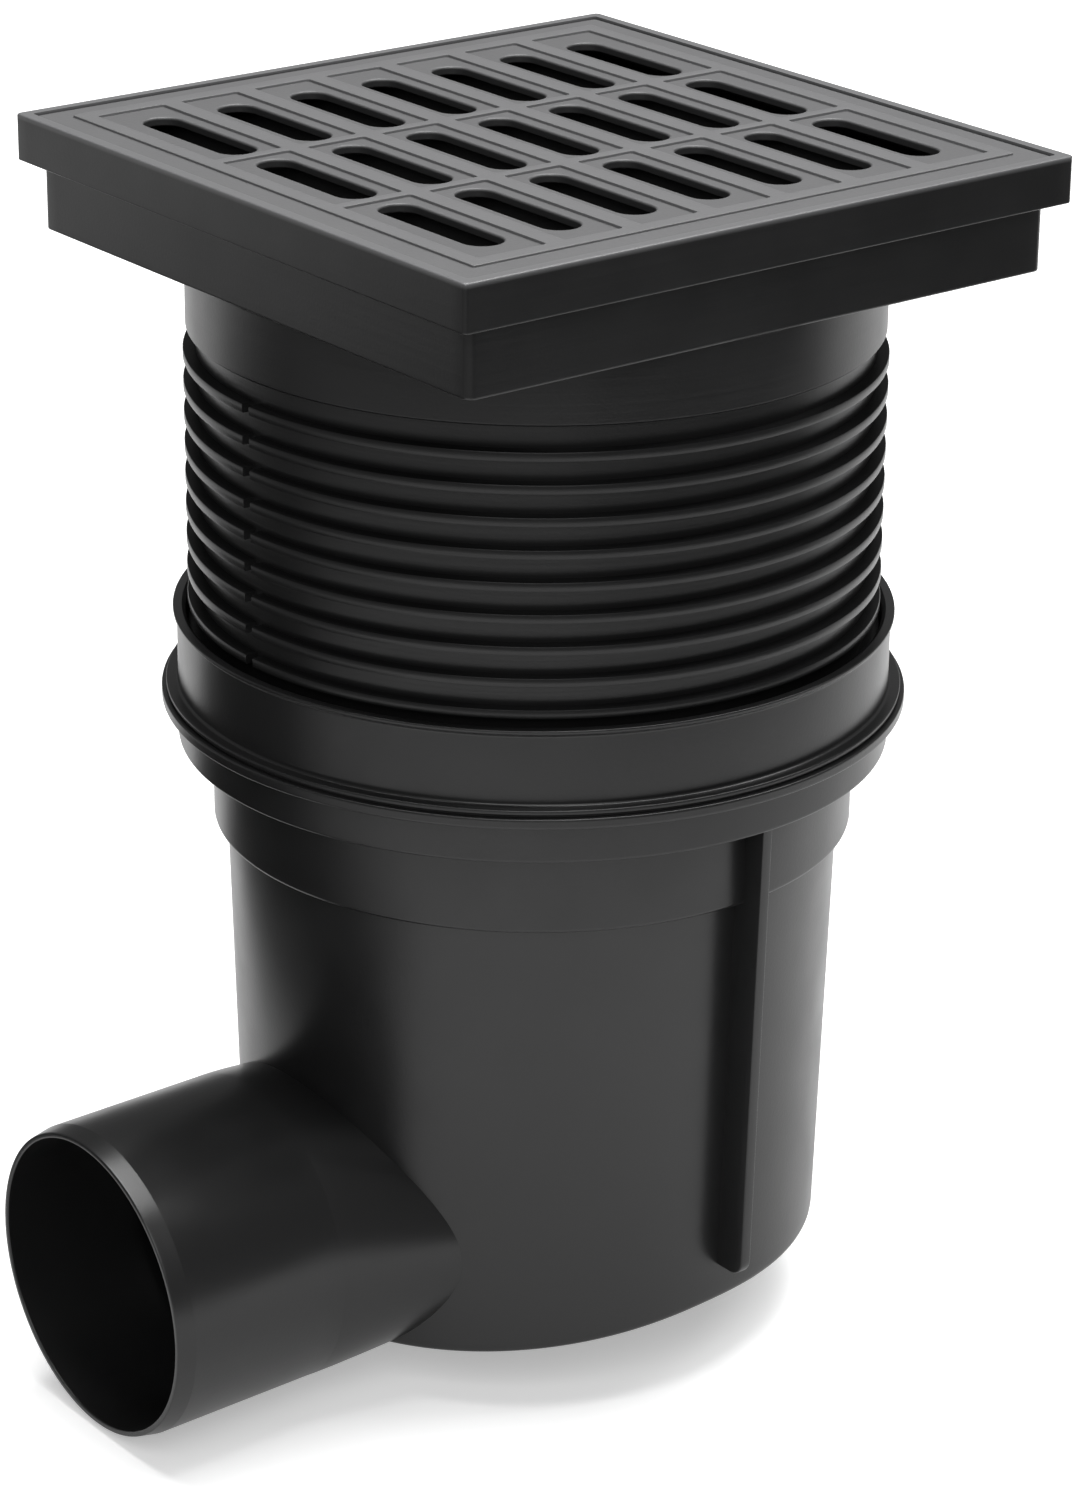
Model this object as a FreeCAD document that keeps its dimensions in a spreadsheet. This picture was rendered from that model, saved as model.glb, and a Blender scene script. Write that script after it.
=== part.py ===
import FreeCAD, Part
import math
import os

import Sketcher

# Floor gully with a flap trap, in millimetres.
# The object stands on its foot ring at z = 0, +Z is up and the body's axis is the Z axis.
# The outlet leaves towards -X. The riser with its square frame slides and turns in the collar.

os.makedirs("parts", exist_ok=True)
doc = FreeCAD.newDocument("gully_trap")
vec = FreeCAD.Vector

# Driving sizes
DRIVING = [
    # square frame and its skirt
    ("top_level", 427.0, "frame's top above the foot"),
    ("frame_over", 6.2, "frame standing out over the skirt"),
    ("frame_tall", 16.5, "height of the frame's side"),
    ("frame_corner", 3.0, "radius of the frame's upright corners"),
    ("frame_bevel", 1.4, "bevel round the frame's top"),
    ("frame_lip", 4.2, "width of the frame's top strip"),
    ("skirt_over", 0.8, "skirt's half side over the neck's radius"),
    ("skirt_tall", 23.5, "height of the skirt"),
    ("hopper_wall", 3.2, "wall of the skirt"),
    ("hopper_floor", 3.0, "floor between skirt and neck"),
    # neck and ribbed tube
    ("tube_radius", 114.7, "tube's outside between the ribs"),
    ("riser_wall", 3.2, "wall of the ribbed tube"),
    ("rib_deep", 4.3, "height of a rib over the tube"),
    ("rib_thick", 3.3, "thickness of a rib"),
    ("rib_space", 7.57, "groove between two ribs"),
    ("rib_count", 13.0, "ribs on the tube"),
    ("neck_inset", 1.0, "neck's radius inside the ribs'"),
    ("neck_tall", 23.7, "height of the smooth neck"),
    ("neck_chamfer", 0.6, "chamfer at the neck's foot"),
    ("rib_first", 8.0, "neck's foot to the first rib's top"),
    ("rib_notch", 3.6, "width of the drain notch through the ribs"),
    ("tube_end", 2.0, "plain end below the last rib"),
    # collar and seals
    ("slide_gap", 0.8, "rib to bore, all round"),
    ("collar_wall", 3.1, "wall of the collar"),
    ("collar_lip", 1.3, "lip standing out at the collar's top"),
    ("collar_lip_tall", 2.4, "height of that lip"),
    ("collar_tall", 28.1, "height of the collar"),
    ("collar_flange_wide", 4.1, "collar's flange over its wall"),
    ("collar_flange_tall", 1.6, "thickness of the collar's flange"),
    ("gasket_thick", 0.8, "thickness of the flange gasket"),
    ("gasket_inset", 0.9, "gasket's edge inside the collar's flange"),
    ("seal_gap", 0.3, "room round the riser seal"),
    # body
    ("ring_wall", 3.3, "wall of the upper ring"),
    ("ring_tall", 14.1, "height of the upper ring below the flange"),
    ("flange_wide", 5.5, "body's flange over the upper ring"),
    ("flange_tall", 3.6, "thickness of the body's flange"),
    ("band_step", 11.8, "upper ring over the lower ring"),
    ("band_tall", 30.4, "height of the lower ring"),
    ("pot_step", 4.6, "lower ring over the pot's top"),
    ("pot_draft", 1.53, "degrees the pot narrows downwards"),
    ("pot_wall", 3.2, "wall of the body"),
    ("ledge_thick", 3.0, "thickness of the riser's ledge"),
    ("floor_level", 32.5, "underside of the floor on the axis"),
    ("floor_fall", 7.8, "degrees the floor falls to the outlet"),
    ("floor_thick", 3.4, "thickness of the floor"),
    # outlet
    ("spigot_radius", 55.0, "outside of the outlet pipe"),
    ("spigot_wall", 3.2, "wall of the outlet pipe"),
    ("spigot_level", 59.6, "outlet's axis above the foot, on the body's axis"),
    ("spigot_fall", 1.0, "degrees the outlet falls"),
    ("spigot_long", 66.5, "round length of the outlet beyond the throat"),
    ("spigot_lead", 6.5, "length of the lead-in bevel"),
    ("spigot_lead_depth", 1.3, "depth of that bevel"),
    ("throat_back", 44.7, "pot's outside to the throat's wide end"),
    ("throat_out", 15.3, "pot's outside to the throat's round end"),
    ("throat_more", 15.0, "throat's half width over the outlet's radius"),
    ("throat_less", 12.7, "throat's half height under the outlet's radius"),
    # side fins and foot
    ("fin_thick", 4.0, "thickness of a side fin"),
    ("fin_offset", 5.0, "fin's middle off the body's middle plane"),
    ("fin_top_out", 9.0, "fin's edge over the lower ring, at its top"),
    ("fin_end_out", 4.2, "fin's edge over the lower ring, at its foot"),
    ("fin_end_level", 46.0, "fin's foot above the stand"),
    ("fin_end_round", 6.0, "slant at the fin's foot"),
    ("foot_inset", 56.7, "foot ring's outside inside the pot's top"),
    ("foot_wall", 4.0, "wall of the foot ring and its webs"),
    # grate
    ("grate_gap", 1.4, "gap between grate and frame"),
    ("grate_thick", 9.0, "thickness of the grate at its edge"),
    ("grate_border", 8.2, "width of the lower border"),
    ("grate_step", 1.3, "border below the frame's top"),
    ("grate_rim", 6.0, "width of the raised rim round the pockets"),
    ("grate_plate", 3.0, "thickness of the plate under the pockets"),
    ("pocket_deep", 1.8, "depth of the pockets"),
    ("slot_columns", 7.0, "slots in a row"),
    ("slot_rows", 3.0, "rows of slots"),
    ("row_spare", 10.9, "pockets' field longer than the rows' pitches"),
    ("slot_margin", 8.03, "slot's side to the middle of the bar"),
    ("slot_end_margin", 5.25, "slot's end to the middle of the bar"),
    ("column_bar", 7.0, "bar between columns"),
    ("row_bar", 4.0, "bar between rows"),
    ("under_rib", 5.0, "thickness of the ribs under the grate"),
    ("under_deep", 9.0, "depth of the ribs under the grate"),
    # silt bucket and its handle
    ("bucket_rim_gap", 1.0, "bucket's rim to the body's bore"),
    ("bucket_rim_thick", 2.2, "thickness of the bucket's rim"),
    ("bucket_rim_lip", 5.0, "rim inside the bucket's wall, where the handle lies"),
    ("bucket_gap", 2.6, "bucket to the pot's wall"),
    ("bucket_wall", 2.0, "wall of the bucket"),
    ("bucket_tall", 70.0, "height of the bucket below its rim"),
    ("bucket_draft", 4.0, "degrees the bucket narrows"),
    ("bucket_slots", 24.0, "drain slots round the bucket"),
    ("bucket_slot_wide", 5.0, "width of a drain slot"),
    ("bucket_slot_margin", 36.0, "bucket's height without the drain slots"),
    ("lug_tall", 10.0, "height of the handle's lugs"),
    ("lug_wide", 12.0, "width of the handle's lugs"),
    ("lug_thick", 4.0, "thickness of the handle's lugs"),
    ("wire_radius", 2.0, "radius of the handle's wire"),
    ("wire_out", 1.2, "wire's end beyond the lug"),
    ("wire_bend", 3.0, "inside radius of the wire's bend"),
    ("pin_gap", 0.06, "running gap of the pins"),
    # flap trap
    ("seat_gap", 0.3, "flap seat to the pipe's bore, wire to the rim"),
    ("seat_ring", 6.5, "radial width of the seat ring"),
    ("seat_deep", 8.0, "length of the seat ring"),
    ("seat_inset", 1.0, "throat's round end to the seat"),
    ("bridge_deep", 6.8, "length of the bridge across the seat's top"),
    ("bridge_low", 11.0, "bridge's lower edge below the pin"),
    ("flap_thick", 2.4, "thickness of the flap"),
    ("flap_lap", 2.0, "flap over the seat, all round"),
    ("flap_gap", 0.3, "seat to the flap's seal"),
    ("flap_seal_thick", 1.2, "thickness of the flap's seal"),
    ("flap_seal_inset", 0.6, "seal's edge inside the flap's"),
    ("flap_top_gap", 2.0, "flap's top edge below the seat's ears"),
    ("flap_pin_radius", 1.5, "radius of the flap's pin"),
    ("flap_pin_drop", 11.5, "pin's axis below the seat ring's outside"),
    ("knuckle_radius", 3.4, "radius of the flap's knuckle"),
    ("knuckle_long", 16.0, "length of the flap's knuckle"),
    ("ear_thick", 4.0, "thickness of the seat's ears"),
    ("ear_root", 2.4, "seat's ears sunk into the seat"),
    ("ear_gap", 0.5, "knuckle to ear"),
]

sheet = doc.addObject("Spreadsheet::Sheet", "Sizes")
for row, (name, value, note) in enumerate(DRIVING, start=1):
    sheet.set("A%d" % row, note)
    sheet.set("B%d" % row, str(value))
    sheet.setAlias("B%d" % row, name)
doc.recompute()


class Size:
    """A number together with the sheet expression that gives it."""

    def __init__(self, value, text):
        self.value = float(value)
        self.text = text

    def _join(self, other, sign, value, swap=False):
        other = other if isinstance(other, Size) else Size(other, repr(float(other)))
        left, right = (other, self) if swap else (self, other)
        return Size(value(left.value, right.value), "(%s %s %s)" % (left.text, sign, right.text))

    def __add__(self, other):
        return self._join(other, "+", lambda a, b: a + b)

    def __sub__(self, other):
        return self._join(other, "-", lambda a, b: a - b)

    def __rsub__(self, other):
        return self._join(other, "-", lambda a, b: a - b, swap=True)

    def __mul__(self, other):
        return self._join(other, "*", lambda a, b: a * b)

    def __truediv__(self, other):
        return self._join(other, "/", lambda a, b: a / b)

    def __neg__(self):
        return Size(-self.value, "(-1 * %s)" % self.text)

    __radd__ = __add__
    __rmul__ = __mul__


def tangent(angle):
    """Tangent of an angle that the sheet holds in degrees."""
    return Size(math.tan(math.radians(angle.value)), "tan(%s * 1 deg)" % angle.text)


def sine(angle):
    """Sine of an angle that the sheet holds in degrees."""
    return Size(math.sin(math.radians(angle.value)), "sin(%s * 1 deg)" % angle.text)


def cosine(angle):
    """Cosine of an angle that the sheet holds in degrees."""
    return Size(math.cos(math.radians(angle.value)), "cos(%s * 1 deg)" % angle.text)


class Sheet:
    """The driving sizes by name."""


S = Sheet()
for name, value, note in DRIVING:
    setattr(S, name, Size(value, "Sizes." + name))


# Drawing helpers
def origin_plane(body, role):
    return [f for f in body.Origin.OriginFeatures if f.Role == role][0]


def bind(feature, prop, size):
    """Give a feature's property its number and tie it to the sheet."""
    setattr(feature, prop, size.value)
    feature.setExpression(prop, size.text)


def drive(sketch, kind, args, size):
    """Add a dimension to a sketch and tie it to the sheet."""
    index = sketch.addConstraint(Sketcher.Constraint(kind, *args, size.value))
    sketch.setExpression("Constraints[%d]" % index, size.text)


def fix_point(sketch, geo, pos, across, up):
    """Hold one point of a sketch at a driven distance from the origin."""
    for kind, axis, size in (("DistanceX", -2, across), ("DistanceY", -1, up)):
        if abs(size.value) < 1e-9:
            sketch.addConstraint(Sketcher.Constraint("PointOnObject", geo, pos, axis))
        elif size.value > 0:
            drive(sketch, kind, (-1, 1, geo, pos), size)
        else:
            drive(sketch, kind, (geo, pos, -1, 1), -size)


def new_sketch(body, role, name, lift=None):
    """A sketch on one of the body's origin planes, lifted along its normal."""
    sketch = body.newObject("Sketcher::SketchObject", name)
    sketch.AttachmentSupport = (origin_plane(body, role), [""])
    sketch.MapMode = "FlatFace"
    if lift is not None:
        sketch.setExpression("AttachmentOffset.Base.z", lift.text)
        sketch.AttachmentOffset = FreeCAD.Placement(vec(0, 0, lift.value), FreeCAD.Rotation())
    return sketch


def draw_outline(sketch, points):
    """Closed straight outline through driven points."""
    first = sketch.GeometryCount
    count = len(points)
    for i in range(count):
        a = points[i]
        b = points[(i + 1) % count]
        sketch.addGeometry(
            Part.LineSegment(vec(a[0].value, a[1].value, 0), vec(b[0].value, b[1].value, 0)), False
        )
    for i in range(count):
        sketch.addConstraint(
            Sketcher.Constraint("Coincident", first + i, 2, first + (i + 1) % count, 1)
        )
    for i, (across, up) in enumerate(points):
        fix_point(sketch, first + i, 1, across, up)


def draw_circle(sketch, across, up, radius):
    geo = sketch.addGeometry(
        Part.Circle(vec(across.value, up.value, 0), vec(0, 0, 1), radius.value), False
    )
    fix_point(sketch, geo, 3, across, up)
    drive(sketch, "Radius", (geo,), radius)


def turned(body, name, points, cut=False):
    """Revolve a driven outline (radius, height) about the body's Z axis."""
    sketch = new_sketch(body, "XZ_Plane", name + "_outline")
    draw_outline(sketch, points)
    kind = "PartDesign::Groove" if cut else "PartDesign::Revolution"
    feature = body.newObject(kind, name)
    feature.Profile = sketch
    feature.ReferenceAxis = (sketch, ["V_Axis"])
    feature.Angle = 360.0
    sketch.Visibility = False
    doc.recompute()
    return feature


def padded(body, name, role, draw, length, lift=None, cut=False, reverse=False, middle=False):
    """Pad or pocket of a sketch drawn by draw(sketch); a cut has to take material away."""
    before = body.Tip.Shape.Volume if body.Tip else 0.0
    sketch = new_sketch(body, role, name + "_outline", lift)
    draw(sketch)
    feature = body.newObject("PartDesign::Pocket" if cut else "PartDesign::Pad", name)
    feature.Profile = sketch
    bind(feature, "Length", length)
    feature.Reversed = reverse
    feature.Midplane = middle
    sketch.Visibility = False
    doc.recompute()
    change = feature.Shape.Volume - before
    if (cut and change > -1e-3) or (not cut and change < 1e-3):
        raise RuntimeError("%s changes nothing" % name)
    return feature


def rectangle(half_x, half_y, x_mid=None, y_mid=None):
    """Draw function for a rectangle with driven half sides and middle."""
    x_mid = x_mid if x_mid is not None else half_x * 0
    y_mid = y_mid if y_mid is not None else half_y * 0

    def draw(sketch):
        draw_outline(
            sketch,
            [
                (x_mid - half_x, y_mid - half_y),
                (x_mid + half_x, y_mid - half_y),
                (x_mid + half_x, y_mid + half_y),
                (x_mid - half_x, y_mid + half_y),
            ],
        )

    return draw


def edge_names(shape, test):
    """Names of the edges that pass a test."""
    return ["Edge%d" % (i + 1) for i, edge in enumerate(shape.Edges) if test(edge)]


def new_body(name):
    body = doc.addObject("PartDesign::Body", name)
    body.Label = name
    doc.recompute()
    return body


def boolean(kind, name, shapes):
    """Boolean of whole solids that stay in the tree."""
    feature = doc.addObject(kind, name)
    feature.Label = name
    if kind == "Part::Cut":
        feature.Base, feature.Tool = shapes
    else:
        feature.Shapes = shapes
    doc.recompute()
    return feature


def place(solid, base, rotation):
    solid.Placement = FreeCAD.Placement(vec(*[b.value for b in base]), rotation)
    for axis, size in zip("xyz", base):
        solid.setExpression("Placement.Base." + axis, size.text)


ZERO = Size(0, "0")
UPRIGHT = FreeCAD.Rotation()
SUBPARTS = []

# Levels and radii that follow
frame_foot = S.top_level - S.frame_tall
skirt_foot = frame_foot - S.skirt_tall
neck_foot = skirt_foot - S.neck_tall
rib_pitch = S.rib_thick + S.rib_space
first_rib = neck_foot - S.rib_first
last_rib = first_rib - (S.rib_count - 1) * rib_pitch
tube_foot = last_rib - S.rib_thick - S.tube_end
ledge_level = tube_foot
ring_foot = ledge_level - S.ledge_thick
flange_top = ring_foot + S.ring_tall + S.flange_tall
gasket_top = flange_top + S.gasket_thick
collar_flange_top = gasket_top + S.collar_flange_tall
collar_top = gasket_top + S.collar_tall
band_foot = ring_foot - S.band_tall
pot_ledge = band_foot + S.pot_wall

riser_bore = S.tube_radius - S.riser_wall
rib_radius = S.tube_radius + S.rib_deep
neck_radius = rib_radius - S.neck_inset
skirt_half = neck_radius + S.skirt_over
frame_half = skirt_half + S.frame_over
bore = rib_radius + S.slide_gap
collar_radius = bore + S.collar_wall
collar_flange = collar_radius + S.collar_flange_wide
ring_radius = bore + S.ring_wall
flange_radius = ring_radius + S.flange_wide
band_radius = ring_radius - S.band_step
band_bore = band_radius - S.pot_wall
pot_radius = band_radius - S.pot_step
pot_bore = pot_radius - S.pot_wall
pot_slope = tangent(S.pot_draft)
fall_slope = tangent(S.floor_fall)
throat_start = pot_radius - S.throat_back
throat_end = pot_radius + S.throat_out
spigot_reach = throat_end + S.spigot_long
foot_radius = pot_radius - S.foot_inset


# Riser: frame, skirt, neck and ribbed tube
riser = new_body("riser")
padded(
    riser, "frame_block", "XY_Plane", rectangle(frame_half, frame_half), S.frame_tall, frame_foot
)
padded(
    riser, "skirt_block", "XY_Plane", rectangle(skirt_half, skirt_half), S.skirt_tall, skirt_foot
)


def is_upright_corner(edge):
    ends = [v.Point for v in edge.Vertexes]
    if len(ends) != 2:
        return False
    along = ends[1] - ends[0]
    return abs(along.x) < 1e-6 and abs(along.y) < 1e-6 and abs(ends[0].x) > S.tube_radius.value


blocks = riser.Tip
corners = riser.newObject("PartDesign::Fillet", "upright_corners")
corners.Base = (blocks, edge_names(blocks.Shape, is_upright_corner))
bind(corners, "Radius", S.frame_corner)
doc.recompute()


def is_top_edge(edge):
    box = edge.BoundBox
    return box.ZMin > S.top_level.value - 1e-6


bevel = riser.newObject("PartDesign::Chamfer", "top_bevel")
bevel.Base = (corners, edge_names(corners.Shape, is_top_edge))
bind(bevel, "Size", S.frame_bevel)
doc.recompute()

# ribbed tube: neck with a small chamfer at its foot, then the plain core
turned(
    riser,
    "tube",
    [
        (riser_bore, skirt_foot + S.hopper_floor),
        (neck_radius, skirt_foot + S.hopper_floor),
        (neck_radius, neck_foot + S.neck_chamfer),
        (neck_radius - S.neck_chamfer, neck_foot),
        (S.tube_radius, neck_foot),
        (S.tube_radius, tube_foot),
        (riser_bore, tube_foot),
    ],
)
rib = turned(
    riser,
    "rib",
    [
        (riser_bore + S.riser_wall / 2, first_rib - S.rib_thick),
        (rib_radius, first_rib - S.rib_thick),
        (rib_radius, first_rib),
        (riser_bore + S.riser_wall / 2, first_rib),
    ],
)
ribs = riser.newObject("PartDesign::LinearPattern", "ribs")
ribs.Originals = [rib]
ribs.Direction = (rib.Profile[0], ["V_Axis"])
ribs.Reversed = True
ribs.Mode = "Spacing"
ribs.setExpression("Offset", rib_pitch.text)
ribs.setExpression("Occurrences", S.rib_count.text)
riser.Tip = ribs
doc.recompute()

# hopper inside the skirt, the grate's recess and the bore
grate_seat = S.top_level - S.grate_step - S.grate_thick
hopper_half = skirt_half - S.hopper_wall
recess_half = frame_half - S.frame_lip
padded(
    riser, "hopper", "XY_Plane", rectangle(hopper_half, hopper_half),
    S.top_level - skirt_foot - S.hopper_floor, skirt_foot + S.hopper_floor,
    cut=True, reverse=True,
)
padded(
    riser, "grate_recess", "XY_Plane", rectangle(recess_half, recess_half),
    S.top_level - grate_seat, grate_seat, cut=True, reverse=True,
)
padded(
    riser, "bore", "XY_Plane", lambda sketch: draw_circle(sketch, ZERO, ZERO, riser_bore),
    S.skirt_tall * 2, skirt_foot - S.skirt_tall, cut=True, reverse=True,
)
# drain notches through the ribs, on the outlet's side and opposite
notch_side = S.rib_deep
notch_middle = S.tube_radius + notch_side
for side, sign in (("front", -1.0), ("back", 1.0)):
    padded(
        riser, "notch_" + side, "XY_Plane",
        rectangle(notch_side, S.rib_notch / 2, notch_middle * sign),
        neck_foot - tube_foot, tube_foot, cut=True, reverse=True,
    )
SUBPARTS.append(riser)

# Grate
grate = new_body("grate")
grate_half = recess_half - S.grate_gap
field_half = grate_half - S.grate_border
pocket_half = field_half - S.grate_rim
border_level = S.top_level - S.grate_step
pocket_level = S.top_level - S.pocket_deep
plate_foot = pocket_level - S.grate_plate
padded(
    grate, "border", "XY_Plane", rectangle(grate_half, grate_half),
    border_level - plate_foot, plate_foot,
)
padded(
    grate, "edge_skirt", "XY_Plane", rectangle(grate_half, grate_half),
    S.grate_thick, grate_seat,
)
padded(
    grate, "field", "XY_Plane", rectangle(field_half, field_half),
    S.top_level - border_level, border_level,
)
padded(
    grate, "under_hollow", "XY_Plane", rectangle(field_half, field_half),
    plate_foot - grate_seat, grate_seat, cut=True, reverse=True,
)
# pockets: the field less its bars, outer ones reach the raised rim
column_edges = []
columns = int(S.slot_columns.value)
rows = int(S.slot_rows.value)
slot_pitch = pocket_half * 2 / S.slot_columns
row_pitch = (pocket_half * 2 - S.row_spare) / S.slot_rows
slot_wide = slot_pitch - S.slot_margin * 2
slot_long = row_pitch - S.slot_end_margin * 2
first_column = (S.slot_columns - 1) * slot_pitch / -2
first_row = (S.slot_rows - 1) * row_pitch / -2


def span(index, count, first, pitch, bar):
    """Low and high side of one pocket in a row of them."""
    low = -pocket_half if index == 0 else first + pitch * (index - 0.5) + bar / 2
    high = pocket_half if index == count - 1 else first + pitch * (index + 0.5) - bar / 2
    return low, high


def draw_pockets(sketch):
    for i in range(columns):
        x_low, x_high = span(i, columns, first_column, slot_pitch, S.column_bar)
        for j in range(rows):
            y_low, y_high = span(j, rows, first_row, row_pitch, S.row_bar)
            draw_outline(
                sketch, [(x_low, y_low), (x_high, y_low), (x_high, y_high), (x_low, y_high)]
            )


padded(
    grate, "pockets", "XY_Plane", draw_pockets, S.pocket_deep, pocket_level, cut=True, reverse=True
)


def draw_slot(sketch):
    """One slot with round ends, its long axis along Y."""
    half = slot_wide / 2
    reach = slot_long / 2 - half
    x, y = first_column, first_row
    left = sketch.addGeometry(Part.LineSegment(
        vec((x - half).value, (y + reach).value, 0), vec((x - half).value, (y - reach).value, 0)), False)
    foot = sketch.addGeometry(Part.ArcOfCircle(Part.Circle(
        vec(x.value, (y - reach).value, 0), vec(0, 0, 1), half.value), math.pi, 2 * math.pi), False)
    right = sketch.addGeometry(Part.LineSegment(
        vec((x + half).value, (y - reach).value, 0), vec((x + half).value, (y + reach).value, 0)), False)
    head = sketch.addGeometry(Part.ArcOfCircle(Part.Circle(
        vec(x.value, (y + reach).value, 0), vec(0, 0, 1), half.value), 0, math.pi), False)
    joints = ((left, 2, foot, 1), (foot, 2, right, 1), (right, 2, head, 1), (head, 2, left, 1))
    for a, a_end, b, b_end in joints:
        sketch.addConstraint(Sketcher.Constraint("Tangent", a, a_end, b, b_end))
    fix_point(sketch, foot, 3, x, y - reach)
    drive(sketch, "Radius", (foot,), half)
    drive(sketch, "DistanceY", (foot, 3, head, 3), reach * 2)
    sketch.addConstraint(Sketcher.Constraint("Vertical", left))


slot = padded(
    grate, "slot", "XY_Plane", draw_slot, S.grate_thick * 2, grate_seat - S.grate_thick * 0.5,
    cut=True, reverse=True,
)
slots = grate.newObject("PartDesign::MultiTransform", "slots")
slots.Originals = [slot]
across = doc.addObject("PartDesign::LinearPattern", "slot_columns_pattern")
down = doc.addObject("PartDesign::LinearPattern", "slot_rows_pattern")
for pattern, axis, pitch, count in (
    (across, "H_Axis", slot_pitch, S.slot_columns),
    (down, "V_Axis", row_pitch, S.slot_rows),
):
    grate.addObject(pattern)
    pattern.Direction = (slot.Profile[0], [axis])
    pattern.Mode = "Spacing"
    pattern.setExpression("Offset", pitch.text)
    pattern.setExpression("Occurrences", count.text)
slots.Transformations = [across, down]
grate.Tip = slots
doc.recompute()


def draw_under_ribs(sketch):
    """Ribs under the bars between the slots."""
    for i in range(columns - 1):
        x = first_column + slot_pitch * (i + 0.5)
        draw_outline(sketch, [
            (x - S.under_rib / 2, -field_half), (x + S.under_rib / 2, -field_half),
            (x + S.under_rib / 2, field_half), (x - S.under_rib / 2, field_half)])


padded(
    grate, "under_ribs", "XY_Plane", draw_under_ribs, S.under_deep, plate_foot - S.under_deep
)
SUBPARTS.append(grate)

# Collar, gasket and riser seal
collar = new_body("collar")
turned(
    collar,
    "ring",
    [
        (bore, gasket_top),
        (collar_flange, gasket_top),
        (collar_flange, collar_flange_top),
        (collar_radius, collar_flange_top),
        (collar_radius, collar_top - S.collar_lip_tall),
        (collar_radius + S.collar_lip, collar_top - S.collar_lip_tall + S.collar_lip),
        (collar_radius + S.collar_lip, collar_top),
        (bore + S.collar_lip, collar_top),
        (bore, collar_top - S.collar_lip),
    ],
)
SUBPARTS.append(collar)

gasket = new_body("flange_gasket")
gasket_rim = collar_flange - S.gasket_inset
turned(
    gasket,
    "washer",
    [(bore, flange_top), (gasket_rim, flange_top), (gasket_rim, gasket_top), (bore, gasket_top)],
)
SUBPARTS.append(gasket)

seal = new_body("riser_seal")
seal_top = last_rib + rib_pitch - S.rib_thick - S.seal_gap
seal_foot = last_rib + S.seal_gap
seal_in = S.tube_radius + S.seal_gap
seal_out = bore - S.seal_gap
seal_step = (seal_out - seal_in) / 4
turned(
    seal,
    "lip_ring",
    [
        (seal_in, seal_foot),
        (seal_out - seal_step, seal_foot),
        (seal_out, seal_foot + seal_step * 2),
        (seal_out, seal_top - seal_step * 2),
        (seal_out - seal_step, seal_top),
        (seal_in, seal_top),
    ],
)
SUBPARTS.append(seal)

# Sump: rings, pot, fins, floor and outlet
shell = new_body("shell")
turned(
    shell,
    "outside",
    [
        (ZERO, ZERO),
        (pot_radius - band_foot * pot_slope, ZERO),
        (pot_radius, band_foot),
        (band_radius, band_foot),
        (band_radius, ring_foot),
        (ring_radius, ring_foot),
        (ring_radius, flange_top - S.flange_tall),
        (flange_radius, flange_top - S.flange_tall),
        (flange_radius, flange_top),
        (ZERO, flange_top),
    ],
)
side = flange_radius


def below_floor(lift, foot):
    """Region under a floor line that falls towards -X, down to a foot level."""

    def draw(sketch):
        draw_outline(sketch, [
            (-side, foot), (side, foot),
            (side, S.floor_level + lift + side * fall_slope),
            (-side, S.floor_level + lift - side * fall_slope)])

    return draw


padded(
    shell, "floor_cut", "XZ_Plane", below_floor(ZERO, -S.floor_level), side * 3,
    cut=True, middle=True,
)


hollow = new_body("hollow")
turned(
    hollow,
    "inside",
    [
        (ZERO, ZERO),
        (pot_bore - pot_ledge * pot_slope, ZERO),
        (pot_bore, pot_ledge),
        (band_bore, pot_ledge),
        (band_bore, ledge_level),
        (bore, ledge_level),
        (bore, flange_top + S.flange_tall),
        (ZERO, flange_top + S.flange_tall),
    ],
)
padded(
    hollow, "floor_top", "XZ_Plane", below_floor(S.floor_thick, -S.floor_level), side * 3,
    cut=True, middle=True,
)

# outlet pipe: turned about its own axis, which points to -X and falls a little
to_outlet = FreeCAD.Rotation(vec(0, 1, 0), -90 - S.spigot_fall.value)


def follow_outlet(feature):
    """Place a feature drawn about +Z so that its +Z runs out along the outlet."""
    place(feature, (ZERO, ZERO, S.spigot_level), to_outlet)
    feature.Placement.Rotation = to_outlet


spigot = new_body("spigot")
end_radius = S.spigot_radius - S.spigot_lead_depth
turned(
    spigot,
    "pipe",
    [
        (ZERO, throat_end),
        (S.spigot_radius, throat_end),
        (S.spigot_radius, spigot_reach - S.spigot_lead),
        (end_radius, spigot_reach),
        (ZERO, spigot_reach),
    ],
)
follow_outlet(spigot)

# throat: the pipe's root widens sideways into the pot, hollow like the pipe
lying = to_outlet.multiply(FreeCAD.Rotation(vec(0, 0, 1), 90))


def make_throat(name, inset, start):
    """Loft square to the outlet's axis, from a lying ellipse to the circle where the pipe starts."""
    sections = []
    round_radius = S.spigot_radius - inset
    for part, major, minor, distance in (
        ("wide", round_radius + S.throat_more, round_radius - S.throat_less, start),
        ("round", round_radius, round_radius, throat_end),
    ):
        ellipse = doc.addObject("Part::Ellipse", name + "_" + part)
        bind(ellipse, "MajorRadius", major)
        bind(ellipse, "MinorRadius", minor)
        place(
            ellipse,
            (-distance * cosine(S.spigot_fall), ZERO,
             S.spigot_level - distance * sine(S.spigot_fall)),
            lying,
        )
        sections.append(ellipse)
    loft = doc.addObject("Part::Loft", name)
    loft.Sections = sections
    loft.Solid = True
    loft.Ruled = True
    doc.recompute()
    return loft


throat = make_throat("throat", ZERO, throat_start)
throat_hole = make_throat("throat_hole", S.spigot_wall, throat_start + S.spigot_wall)

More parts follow.
